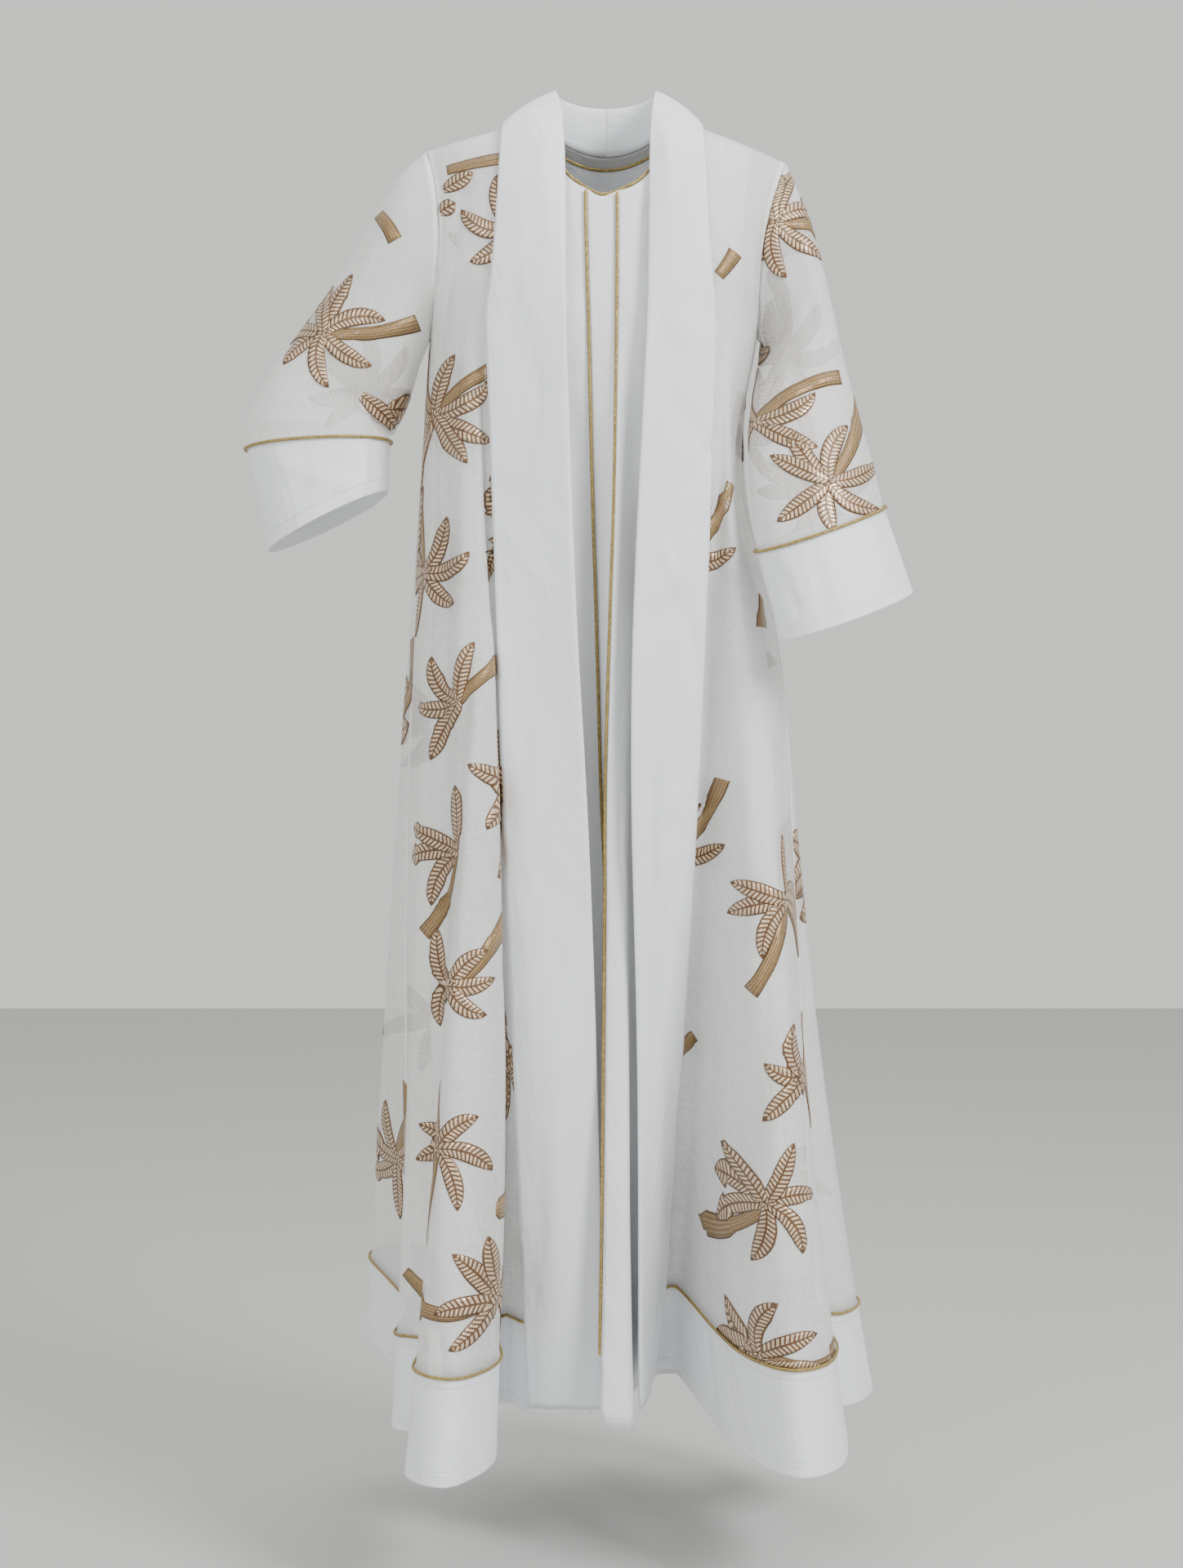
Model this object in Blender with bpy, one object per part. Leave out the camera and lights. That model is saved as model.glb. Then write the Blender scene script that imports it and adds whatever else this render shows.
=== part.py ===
"""Abaya set, size 54: a sheer open-front abaya with a shawl collar, worn over a plain sleeveless dress.

Metres, +Z up. The front faces -Y and the wearer's left is +X. The origin is midway between the high
points of the two shoulders, which carry the cloth. "right" and "left" are the wearer's.
Every piece is one thin wall of cloth. Its middle surface is a grid of points worked out from the tables
below: heads of the folds at three levels round the body, the lines of the centre front, and sleeve sections.
"""

import math

import bpy
import numpy as np

# Driving sizes
ORGANZA = 0.0012
CREPE = 0.0014
SEAM_GAP = 0.0003
PIPING_RADIUS = 0.0014
PIPING_LIFT = 0.0005
FRONT_PIPING_LIFT = 0.0007
SHARPEST_MITRE = 2.0
PIPING_TRIM = 0.0030
CHEST_Z = -0.225
KNEE_Z = -0.80
SKIRT_DEPTH = 1.13
HEM_BAND = 0.100
COLLAR_LAY = 0.0032
COLLAR_ABOVE_HEM = 0.007
EDGE_FROM_ROLL = 0.0120
SIDE_TRIM = 0.0007
CROSS_TRIM = 0.0006
STRIP_TRIM = 0.0014
ARMHOLE_GAP = 0.0019

# Upper body of the abaya, as half widths, half depths and heights, in metres
NECK_HALF = 0.066
SHOULDER_HALF = 0.187
SHOULDER_DROP = {"right": 0.030, "left": 0.042}
CHEST_HALF = {"right": 0.183, "left": 0.168}
ARMHOLE_FULLNESS = {"right": 0.018, "left": 0.033}
CHEST_FRONT = 0.125
CHEST_BACK = 0.112
YOKE_DEPTH = 0.090
FRONT_ROLL = 0.095
BACK_ROLL = 0.075
BACK_NECK_DROP = 0.020
BACK_ARMHOLE_IN = 0.012
FRONT_ARMHOLE_IN = 0.016
ROUNDNESS = 2.3
SHOULDER_CURVE = 1.25
NECK_CURVE_BEHIND = 2.0
NECK_CURVE_IN_FRONT = 2.6

# The dress hangs inside the abaya by these amounts
DRESS_IN = 0.013
DRESS_DOWN = 0.0022
DRESS_SHOULDER_HALF = 0.150
DRESS_NECK_HALF = 0.077
DRESS_NECK_DEPTH = 0.094
DRESS_BACK_NECK = 0.030
DRESS_V_NOTCH = 0.007
DRESS_LINE_DROP = 1.353
DRESS_ARMHOLE_IN = 0.020

# Lines of the centre front by height: the collar's roll on each side, the depth at which the two
# fronts hang, and the two piped lines of the dress
CENTRE_FRONT = (
    # z, roll right x, roll left x, right y, left y, line right x, line right y, line left x, line left y
    (0.034, -0.0530, 0.0520, 0.004, 0.004, -0.0215, -0.088, 0.0105, -0.088),
    (0.010, -0.0475, 0.0480, -0.030, -0.030, -0.0215, -0.088, 0.0105, -0.088),
    (-0.030, -0.0440, 0.0450, -0.068, -0.068, -0.0215, -0.088, 0.0105, -0.088),
    (-0.090, -0.0420, 0.0430, -0.104, -0.104, -0.0215, -0.088, 0.0105, -0.088),
    (-0.225, -0.0410, 0.0405, -0.126, -0.126, -0.0180, -0.106, 0.0100, -0.110),
    (-0.400, -0.0360, 0.0320, -0.121, -0.121, -0.0128, -0.086, 0.0088, -0.107),
    (-0.550, -0.0295, 0.0260, -0.110, -0.110, -0.0075, -0.067, 0.0045, -0.095),
    (-0.690, -0.0215, 0.0250, -0.093, -0.093, -0.0035, -0.047, 0.0010, -0.077),
    (-0.800, -0.0165, 0.0275, -0.075, -0.077, 0.0010, -0.034, 0.0005, -0.064),
    (-0.950, -0.0115, 0.0315, -0.048, -0.055, 0.0035, -0.022, -0.0005, -0.052),
    (-1.150, -0.0065, 0.0340, -0.020, -0.031, 0.0045, -0.014, -0.0025, -0.044),
    (-1.361, -0.0045, 0.0360, -0.003, -0.016, 0.0045, -0.010, -0.0062, -0.040),
)

# Folds of the abaya, from the right front edge round the back to the left front edge. turn is the
# angle round the chest from the front, and hem drop is measured down from the origin
FRONT_RIGHT_FOLDS = (
    # turn, knee x, knee y, hem x, hem y, hem drop, columns to the next
    ("under_lapel", 28, -0.060, -0.074, -0.0445, 0.004, 1.350, 2),
    ("lapel_edge", 41, -0.100, -0.068, -0.0800, 0.014, 1.352, 2),
    ("recess", 43, -0.105, -0.052, -0.1075, 0.056, 1.352, 2),
    ("fold_root", 45, -0.111, -0.062, -0.1250, 0.010, 1.356, 2),
    ("fold_inner", 47, -0.106, -0.098, -0.1115, -0.100, 1.366, 2),
    ("fold_crown", 49, -0.118, -0.124, -0.1330, -0.172, 1.367, 2),
    ("fold_outer", 52, -0.140, -0.128, -0.1620, -0.200, 1.367, 2),
    ("fold_turn", 55, -0.157, -0.112, -0.1975, -0.160, 1.365, 2),
    ("valley", 61, -0.166, -0.074, -0.1860, -0.060, 1.356, 2),
    ("side_fold", 74, -0.194, -0.050, -0.2230, -0.008, 1.361, 2),
)
BACK_FOLDS = (
    ("side_right", 90, -0.209, 0.018, -0.2050, 0.085, 1.348, 2),
    ("flap_right", 103, -0.231, 0.095, -0.2700, 0.225, 1.322, 2),
    ("turn_right", 118, -0.192, 0.138, -0.2450, 0.300, 1.322, 2),
    ("hollow_right", 131, -0.148, 0.132, -0.1750, 0.262, 1.326, 2),
    ("wave_right", 147, -0.095, 0.172, -0.1150, 0.325, 1.334, 2),
    ("hollow_middle", 164, -0.040, 0.160, -0.0480, 0.272, 1.334, 2),
    ("wave_middle", 182, 0.012, 0.184, 0.0200, 0.332, 1.337, 2),
    ("hollow_left", 200, 0.062, 0.158, 0.0850, 0.270, 1.337, 2),
    ("wave_left", 218, 0.120, 0.166, 0.1550, 0.310, 1.342, 2),
    ("turn_left", 240, 0.172, 0.120, 0.2350, 0.235, 1.350, 2),
    ("flap_left", 256, 0.206, 0.062, 0.2930, 0.140, 1.356, 2),
    ("flap_turn", 264, 0.206, 0.030, 0.2640, 0.062, 1.356, 2),
)
FRONT_LEFT_FOLDS = (
    ("side_left", 270, 0.198, 0.008, 0.2280, 0.032, 1.353, 2),
    ("fold_turn", 287, 0.187, -0.060, 0.2440, -0.060, 1.361, 2),
    ("fold_outer", 298, 0.176, -0.100, 0.2290, -0.148, 1.362, 2),
    ("fold_crown", 306, 0.158, -0.116, 0.1900, -0.185, 1.362, 2),
    ("fold_inner", 311, 0.141, -0.108, 0.1570, -0.150, 1.362, 2),
    ("fold_slope", 314, 0.127, -0.084, 0.1300, -0.076, 1.361, 2),
    ("valley_slope", 316, 0.112, -0.056, 0.1060, 0.024, 1.352, 2),
    ("valley", 318, 0.098, -0.040, 0.0750, 0.098, 1.330, 2),
    ("lapel_edge", 320, 0.086, -0.052, 0.0520, 0.074, 1.326, 2),
    ("under_lapel", 331, 0.064, -0.068, 0.0430, 0.034, 1.344, 2),
)

# Folds of the dress, which stay inside the abaya's
DRESS_RIGHT_FOLDS = (
    # turn, knee x, knee y, hem x, hem y, hem drop, columns to the next
    ("strip_turn", 16, -0.012, -0.026, -0.0120, 0.022, 1.345, 2),
    ("behind_lapel", 30, -0.055, -0.046, -0.0550, 0.046, 1.342, 2),
    ("hollow", 46, -0.104, -0.030, -0.1080, 0.092, 1.338, 2),
    ("front_round", 64, -0.150, -0.032, -0.1520, 0.058, 1.338, 3),
)
DRESS_BACK_FOLDS = (
    ("side_right", 90, -0.186, 0.022, -0.1760, 0.100, 1.335, 3),
    ("round_right", 118, -0.160, 0.094, -0.1720, 0.190, 1.332, 3),
    ("hollow_right", 148, -0.080, 0.118, -0.0950, 0.212, 1.332, 3),
    ("middle", 180, 0.000, 0.136, 0.0000, 0.238, 1.334, 3),
    ("hollow_left", 212, 0.080, 0.118, 0.1000, 0.212, 1.336, 3),
    ("round_left", 242, 0.152, 0.080, 0.1850, 0.172, 1.338, 3),
)
DRESS_LEFT_FOLDS = (
    ("side_left", 270, 0.180, 0.012, 0.1960, 0.080, 1.340, 3),
    ("front_round", 294, 0.150, -0.048, 0.1520, 0.020, 1.342, 2),
    ("hollow", 312, 0.104, -0.018, 0.1000, 0.128, 1.342, 2),
    ("behind_lapel", 328, 0.052, -0.030, 0.0480, 0.132, 1.344, 2),
    ("column_side", 343, 0.0300, -0.036, 0.0260, 0.044, 1.348, 2),
    ("column_front", 350, 0.0215, -0.061, 0.0270, -0.034, 1.357, 2),
)

# Collar round the back of the neck: where its seam, roll and free edge pass
COLLAR_NECK = (
    # seam x, roll x, roll y, roll z, free edge x and how far it lies below the shoulder line
    ("centre_back", 0.0000, 0.0000, 0.0570, 0.0300, 0.0000, 0.0540),
    ("back_quarter", 0.0330, 0.0290, 0.0500, 0.0315, 0.0560, 0.0450),
    ("behind_shoulder", 0.0560, 0.0480, 0.0330, 0.0340, 0.0900, 0.0200),
    ("over_shoulder", 0.0630, 0.0520, 0.0190, 0.0345, 0.1000, 0.0060),
)
COLLAR_STAND = (0.034, 0.031, 0.024, 0.013, 0.004)
COLLAR_ACROSS = (0.05, 0.14, 0.36, 0.58, 0.79)
COLLAR_BULGE = (0.0010, 0.0025, 0.0045, 0.0050, 0.0035)
COLLAR_COLUMN = 4
COLLAR_SEAM_GAP = 0.0012
STAND_SHARE = 0.25
ROLL_HALF = 0.0021
LAY_OVER_EDGE = 1.15
LAY_ON_PANEL = 1.10
LAY_FREE_EDGE = 1.40
LAY_RISE = 0.30
LAPEL_AT_SHOULDER = {"right": 0.107, "left": 0.098}

# Sleeve sections from the armhole to the cuff: the outer edge, the under edge and half the depth across
SLEEVE_RIGHT = (
    # outer x, y, z, under x, y, z, half depth
    (-0.2150, 0.002, -0.056, -0.1870, 0.002, -0.232, 0.066),
    (-0.2480, 0.006, -0.107, -0.1960, 0.006, -0.253, 0.065),
    (-0.2840, 0.010, -0.165, -0.2060, 0.010, -0.286, 0.064),
    (-0.3240, 0.012, -0.220, -0.2230, 0.012, -0.322, 0.063),
    (-0.3560, 0.008, -0.266, -0.2300, 0.008, -0.318, 0.062),
    (-0.3730, 0.002, -0.306, -0.2290, 0.002, -0.322, 0.060),
    (-0.3740, -0.004, -0.342, -0.2265, -0.004, -0.334, 0.058),
)
CUFF_RIGHT = (-0.3500, -0.012, -0.449, -0.2280, -0.012, -0.3870, 0.056)
SLEEVE_LEFT = (
    (0.2010, -0.002, -0.085, 0.1690, -0.008, -0.236, 0.060),
    (0.2160, -0.006, -0.140, 0.1660, -0.020, -0.250, 0.056),
    (0.2280, -0.012, -0.196, 0.1620, -0.036, -0.268, 0.052),
    (0.2379, -0.020, -0.250, 0.1560, -0.060, -0.298, 0.049),
    (0.2497, -0.030, -0.301, 0.1500, -0.088, -0.343, 0.047),
    (0.2628, -0.045, -0.352, 0.1495, -0.113, -0.400, 0.046),
    (0.2757, -0.060, -0.409, 0.1540, -0.128, -0.460, 0.047),
)
CUFF_LEFT = (0.3039, -0.075, -0.496, 0.1760, -0.138, -0.549, 0.048)

# The left arm presses the side of the abaya and the dress in
ARM_PRESS = 0.20
ARM_PRESS_Z = -0.36
ARM_PRESS_REACH = 0.125
ARM_PRESS_FROM = 0.110
ARM_PRESS_FULL = 0.160

EDGE_COLUMNS = 2
SHOULDER_ROWS = (0.0, 0.035, 0.11, 0.23, 0.40, 0.60, 0.80)
SKIRT_ROWS = 12
BAND_ROWS = 2
SLEEVE_SIDES = 20
NECK_PIPING_LIFT = 0.0011

COLOURS = {
    "organza": ((0.86, 0.85, 0.83, 1.0), 0.55, 0.0),
    "crepe": ((0.90, 0.91, 0.93, 1.0), 0.45, 0.0),
    "dress": ((0.88, 0.89, 0.91, 1.0), 0.50, 0.0),
    "gold": ((0.62, 0.47, 0.20, 1.0), 0.35, 0.8),
}


def material(name):
    """One plain Principled material, made once."""
    found = bpy.data.materials.get(name)
    if found:
        return found
    colour, roughness, metallic = COLOURS[name]
    made = bpy.data.materials.new(name)
    made.use_nodes = True
    shader = made.node_tree.nodes["Principled BSDF"]
    shader.inputs["Base Color"].default_value = colour
    shader.inputs["Roughness"].default_value = roughness
    shader.inputs["Metallic"].default_value = metallic
    return made


def cloth(name, grid, thickness, kind, around=False):
    """A wall of cloth: a grid of points, rows down and columns across, thickened evenly to both sides."""
    rows, columns = grid.shape[:2]
    spans = columns if around else columns - 1
    faces = []
    for i in range(rows - 1):
        for j in range(spans):
            k = (j + 1) % columns
            faces.append((i * columns + j, i * columns + k, (i + 1) * columns + k, (i + 1) * columns + j))
    mesh = bpy.data.meshes.new(name)
    mesh.from_pydata(grid.reshape(-1, 3).tolist(), [], faces)
    mesh.shade_smooth()
    mesh.materials.append(material(kind))
    made = bpy.data.objects.new(name, mesh)
    bpy.context.collection.objects.link(made)
    wall = made.modifiers.new("Wall", "SOLIDIFY")
    wall.thickness = thickness
    wall.offset = 0.0
    wall.use_even_offset = True
    return made


def cord(name, points, radius, closed=False):
    """Piping: a round cord along points, with filled ends."""
    curve = bpy.data.curves.new(name, "CURVE")
    curve.dimensions = "3D"
    curve.bevel_depth = radius
    curve.bevel_resolution = 1
    curve.use_fill_caps = True
    curve.materials.append(material("gold"))
    line = curve.splines.new("POLY")
    line.points.add(len(points) - 1)
    for place, point in zip(points, line.points):
        point.co = (*place, 1.0)
    line.use_cyclic_u = closed
    made = bpy.data.objects.new(name, curve)
    bpy.context.collection.objects.link(made)
    return made


def normals(grid, around=False):
    """Unit normals of a grid, towards the outside of the wearer."""
    if around:
        wide = np.concatenate([grid[:, -1:], grid, grid[:, :1]], axis=1)
        across = np.gradient(wide, axis=1)[:, 1:-1]
    else:
        across = np.gradient(grid, axis=1)
    down = np.gradient(grid, axis=0)
    out = np.cross(across, down)
    return out / np.linalg.norm(out, axis=2, keepdims=True)


def beside(line, out, lift=PIPING_LIFT, closed=False):
    """A seam's line moved out for its piping, with mitred corners so that it keeps its distance."""
    before = np.roll(line, 1, axis=0)
    after = np.roll(line, -1, axis=0)
    if not closed:
        before[0] = 2 * line[0] - line[1]
        after[-1] = 2 * line[-1] - line[-2]
    arriving = (line - before) / np.linalg.norm(line - before, axis=1, keepdims=True)
    leaving = (after - line) / np.linalg.norm(after - line, axis=1, keepdims=True)
    along = arriving + leaving
    along /= np.linalg.norm(along, axis=1, keepdims=True)
    up = out - along * (out * along).sum(axis=1, keepdims=True)
    up /= np.linalg.norm(up, axis=1, keepdims=True)
    mitre = 1 / np.maximum((arriving * along).sum(axis=1, keepdims=True), 1 / SHARPEST_MITRE)
    return line + up * mitre * (CREPE / 2 + PIPING_RADIUS + lift)


def column_of(table, column, height):
    """A column of a table by height, through a smooth curve."""
    heights = [row[0] for row in table]
    values = [row[column] for row in table]
    height = min(max(height, heights[-1]), heights[0])
    k = 0
    while k < len(heights) - 2 and height < heights[k + 1]:
        k += 1
    span = heights[k + 1] - heights[k]
    t = (height - heights[k]) / span
    before = max(k - 1, 0)
    after = min(k + 2, len(heights) - 1)
    slope_a = (values[k + 1] - values[before]) / (heights[k + 1] - heights[before]) * span
    slope_b = (values[after] - values[k]) / (heights[after] - heights[k]) * span
    return (
        (2 * t**3 - 3 * t**2 + 1) * values[k]
        + (t**3 - 2 * t**2 + t) * slope_a
        + (3 * t**2 - 2 * t**3) * values[k + 1]
        + (t**3 - t**2) * slope_b
    )


def through(points, pieces):
    """A smooth curve through points, with pieces[k] steps from point k to the next."""
    points = np.asarray(points, float)
    ends = np.concatenate([[2 * points[0] - points[1]], points, [2 * points[-1] - points[-2]]])
    found = []
    for k, steps in enumerate(pieces):
        a, b, c, d = ends[k : k + 4]
        for i in range(steps):
            t = i / steps
            square = (2 * a - 5 * b + 4 * c - d) * t**2
            cube = (3 * b - a - 3 * c + d) * t**3
            found.append(0.5 * (2 * b + (c - a) * t + square + cube))
    found.append(points[-1])
    return np.array(found)


def shoulder_z(x, inside):
    """Height of the shoulder line, which slopes from the neck to the sleeve."""
    drop = SHOULDER_DROP["right" if x < 0 else "left"]
    out = max(abs(x) - NECK_HALF, 0.0) / (SHOULDER_HALF - NECK_HALF)
    return -drop * out**SHOULDER_CURVE - inside * (DRESS_DOWN / DRESS_IN)


def body_y(x, z, side, inside):
    """Depth of the cloth on the upper body.

    side is -1 in front and 1 behind, and inside is how far the cloth lies within the abaya.
    """
    top = shoulder_z(x, inside)
    down = min(max((top - z) / (top - CHEST_Z), 0.0), 1.0)
    full = CHEST_FRONT if side < 0 else CHEST_BACK
    depth = YOKE_DEPTH + (full - YOKE_DEPTH) * math.sin(down * math.pi / 2) - inside
    flank = "right" if x < 0 else "left"
    half = CHEST_HALF[flank] - inside + ARMHOLE_FULLNESS[flank] * (1 - down**3)
    around = max(1 - min(abs(x) / half, 1.0) ** ROUNDNESS, 0.0) ** (1 / ROUNDNESS)
    roll = FRONT_ROLL if side < 0 else BACK_ROLL
    fall = min(max((top - z) / roll, 0.0), 1.0)
    return side * depth * around * math.sqrt(1 - (1 - fall) ** 2)


def chest_point(turn, inside):
    """A point of the chest ring. turn is the angle from the front, towards the right side first."""
    angle = math.radians(turn)
    x = -(CHEST_HALF["right" if math.sin(angle) > 0 else "left"] - inside) * math.sin(angle)
    side = -1 if math.cos(angle) > 0 else 1
    return np.array([x, body_y(x, CHEST_Z, side, inside), CHEST_Z])


def pressed(x, z):
    """A place across the body after the left arm has pressed the side in."""
    side = min(max((x - ARM_PRESS_FROM) / (ARM_PRESS_FULL - ARM_PRESS_FROM), 0.0), 1.0)
    near = math.exp(-(((z - ARM_PRESS_Z) / ARM_PRESS_REACH) ** 2))
    return x - ARM_PRESS * x * near * side * side * (3 - 2 * side)


def fold_point(row, t, inside):
    """Where a fold's head stands, from the chest (t = 0) past the knee to the hem (t = 1)."""
    turn, knee_x, knee_y, hem_x, hem_y, hem_drop = row[1:7]
    chest = chest_point(turn, inside)
    knee_t = (CHEST_Z - KNEE_Z) / (CHEST_Z + hem_drop)
    knee = np.array([knee_x, knee_y])
    hem = np.array([hem_x, hem_y])
    a = (t - knee_t) * (t - 1) / knee_t
    b = t * (t - 1) / (knee_t * (knee_t - 1))
    c = t * (t - knee_t) / (1 - knee_t)
    x, y = a * chest[:2] + b * knee + c * hem
    z = CHEST_Z + (-hem_drop - CHEST_Z) * t
    return np.array([pressed(x, z), y, z])


def roll_point(side, z):
    """Tip of the collar's roll on one front."""
    x_column, y_column = (1, 3) if side == "right" else (2, 4)
    return np.array([column_of(CENTRE_FRONT, x_column, z), column_of(CENTRE_FRONT, y_column, z), z])


def front_edge(side, under_lapel):
    """Edge of a front, which runs from under the lapel towards the collar's roll and stops short of it."""
    roll = roll_point(side, under_lapel[2])
    along = under_lapel - roll
    along /= np.linalg.norm(along)
    inward = np.array([along[1], -along[0], 0.0]) * (1 if side == "right" else -1)
    return roll + along * EDGE_FROM_ROLL + inward * COLLAR_LAY / 2


def abaya_ring(t):
    """One ring of the abaya's skirt, from the right front edge round the back to the left front edge."""
    rows = FRONT_RIGHT_FOLDS + BACK_FOLDS + FRONT_LEFT_FOLDS
    heads = [fold_point(row, t, 0.0) for row in rows]
    points = [front_edge("right", heads[0]), *heads, front_edge("left", heads[-1])]
    return through(points, [EDGE_COLUMNS] + [row[-1] for row in rows])


def dress_line(side, t):
    z = CHEST_Z + (-DRESS_LINE_DROP - CHEST_Z) * t
    first = 5 if side == "right" else 7
    return np.array([column_of(CENTRE_FRONT, first, z), column_of(CENTRE_FRONT, first + 1, z), z])


def dress_ring(t):
    """One ring of the dress's skirt, from the right piped line round the back to the left piped line."""
    rows = DRESS_RIGHT_FOLDS + DRESS_BACK_FOLDS + DRESS_LEFT_FOLDS
    heads = [fold_point(row, t, DRESS_IN) for row in rows]
    points = [dress_line("right", t), *heads, dress_line("left", t)]
    return through(points, [EDGE_COLUMNS] + [row[-1] for row in rows])


def yoke(chest_row, side, inside, top_x, armhole_in):
    """Rows from the shoulder down to the chest ring, for columns whose places at the chest are given.

    armhole_in is how far the armhole's edge curves in between its two ends.
    """
    rows = []
    for s in SHOULDER_ROWS:
        row = []
        for j, chest in enumerate(chest_row):
            start = top_x[j]
            hollow = armhole_in * math.sin(math.pi * s) * (abs(start) / SHOULDER_HALF) ** 4
            x = start + (chest[0] - start) * s**1.5
            x -= math.copysign(hollow, x)
            top = shoulder_z(start, inside)
            if abs(start) < neck_half(inside):
                top = neck_top(start, side, inside)
            z = top + (CHEST_Z - top) * s
            y = body_y(x, z, side, inside)
            slip = chest[1] - body_y(chest[0], CHEST_Z, side, inside)
            row.append((x, y + slip * s**2, z))
        rows.append(row)
    return np.array(rows)


def neck_half(inside):
    return DRESS_NECK_HALF if inside else NECK_HALF


def neck_top(x, side, inside):
    """Height of the neckline between the two neck points."""
    half = neck_half(inside)
    depth = BACK_NECK_DROP if not inside else DRESS_BACK_NECK if side > 0 else DRESS_NECK_DEPTH - DRESS_DOWN
    edge = shoulder_z(half, inside)
    return edge - depth * (1 - (abs(x) / half) ** (NECK_CURVE_BEHIND if side > 0 else NECK_CURVE_IN_FRONT))


def panel_columns(right_folds, back_folds, left_folds):
    """The columns of a ring that each panel takes. Neighbours share the column of their seam."""
    right = EDGE_COLUMNS + sum(row[-1] for row in right_folds)
    back = right + sum(row[-1] for row in back_folds)
    left = back + sum(row[-1] for row in left_folds)
    return {
        "front_right": slice(0, right + 1),
        "back": slice(right, back + 1),
        "front_left": slice(back, left + 1),
    }


def spread(first, last, count):
    return [first + (last - first) * i / (count - 1) for i in range(count)]


def trimmed(grid, first=0.0, last=0.0):
    """The grid with its first and last columns drawn in, for the gap at a seam."""
    grid = grid.copy()
    for edge, beside, amount in ((0, 1, first), (-1, -2, last)):
        if amount:
            step = grid[:, beside] - grid[:, edge]
            length = np.linalg.norm(step, axis=1, keepdims=True)
            grid[:, edge] += step / length * amount
    return grid


def shortened(grid, amount):
    """The grid with its last row drawn up, for the gap at a seam across."""
    grid = grid.copy()
    step = grid[-2] - grid[-1]
    grid[-1] += step / np.linalg.norm(step, axis=1, keepdims=True) * amount
    return grid


def skirt(ring, columns, band):
    """Rows of a panel's skirt from the chest to the band's seam, then those of the band."""
    seam = 1 - band / SKIRT_DEPTH
    panel = [ring(seam * i / SKIRT_ROWS)[columns] for i in range(SKIRT_ROWS + 1)]
    if not band:
        return np.array(panel), None
    strip = [ring(seam + (1 - seam) * i / BAND_ROWS)[columns] for i in range(BAND_ROWS + 1)]
    return np.array(panel), np.array(strip)


def sleeve_section(row, sides):
    """One ring of a sleeve: top first, then round its front, its under side and its back."""
    outer = np.array(row[0:3])
    under = np.array(row[3:6])
    depth = row[6]
    middle = (outer + under) / 2
    half = (outer - under) / 2
    front = np.array([half[1], -half[0], 0.0])
    front *= -math.copysign(depth, front[1]) / np.linalg.norm(front)
    angles = [2 * math.pi * i / sides for i in range(sides)]
    return np.array([middle + half * math.cos(angle) + front * math.sin(angle) for angle in angles])


def armhole_ring(front, back, sides):
    """The armhole's edge as a ring of points, read from the outer columns of the front and the back."""
    ring = []
    for i in range(sides):
        angle = 2 * math.pi * i / sides
        s = (1 - math.cos(angle)) / 2
        edge = front if angle <= math.pi else back
        place = np.interp(s, (*SHOULDER_ROWS, 1.0), range(len(edge)))
        k = min(int(place), len(edge) - 2)
        ring.append(edge[k] + (edge[k + 1] - edge[k]) * (place - k))
    ring = np.array(ring)
    ring[:, 0] += math.copysign(ARMHOLE_GAP, ring[:, 0].mean())
    return ring


def build_fronts_and_back():
    """The abaya's panels, the back below a yoke, with their hem bands and piping. Returns their grids."""
    grids = {}
    for name, columns in panel_columns(FRONT_RIGHT_FOLDS, BACK_FOLDS, FRONT_LEFT_FOLDS).items():
        panel, strip = skirt(abaya_ring, columns, HEM_BAND)
        count = panel.shape[1]
        if name == "back":
            top = spread(-SHOULDER_HALF, SHOULDER_HALF, count)
            upper = yoke(panel[0], 1, 0.0, top, BACK_ARMHOLE_IN)
        else:
            sign = -1 if name == "front_right" else 1
            lapel = sign * LAPEL_AT_SHOULDER["right" if sign < 0 else "left"]
            top = spread(sign * NECK_HALF, lapel, COLLAR_COLUMN + 1)
            top += spread(lapel, sign * SHOULDER_HALF, count - COLLAR_COLUMN)[1:]
            if sign > 0:
                top.reverse()
            upper = yoke(panel[0], -1, 0.0, top, FRONT_ARMHOLE_IN)
        grid = np.concatenate([upper, panel])
        grids[name] = grid
        grids["band_" + name] = strip
        left_trim = 0.0 if name == "front_right" else SIDE_TRIM
        right_trim = 0.0 if name == "front_left" else SIDE_TRIM
        lowered = grid.copy()
        if name == "back":
            lowered[0, :, 1] += SEAM_GAP
        else:
            lowered[0, :, 1] -= SEAM_GAP
        panel_grid = trimmed(shortened(lowered, CROSS_TRIM), left_trim, right_trim)
        if name == "back":
            seam = len(SHOULDER_ROWS)
            cloth("abaya_yoke", shortened(panel_grid[: seam + 1], CROSS_TRIM), ORGANZA, "organza")
            panel_grid = panel_grid[seam:]
        cloth("abaya_" + name, panel_grid, ORGANZA, "organza")
        cloth("hem_band_" + name, trimmed(strip, left_trim, right_trim), CREPE, "crepe")
        out = normals(strip)[0]
        line = beside(strip[0], out)
        if name == "front_right":
            line = line[COLLAR_COLUMN:]
        if name == "front_left":
            line = line[:-COLLAR_COLUMN]
        cord("piping_hem_" + name, trimmed(line[None], PIPING_TRIM, PIPING_TRIM)[0], PIPING_RADIUS)
    return grids


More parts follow.
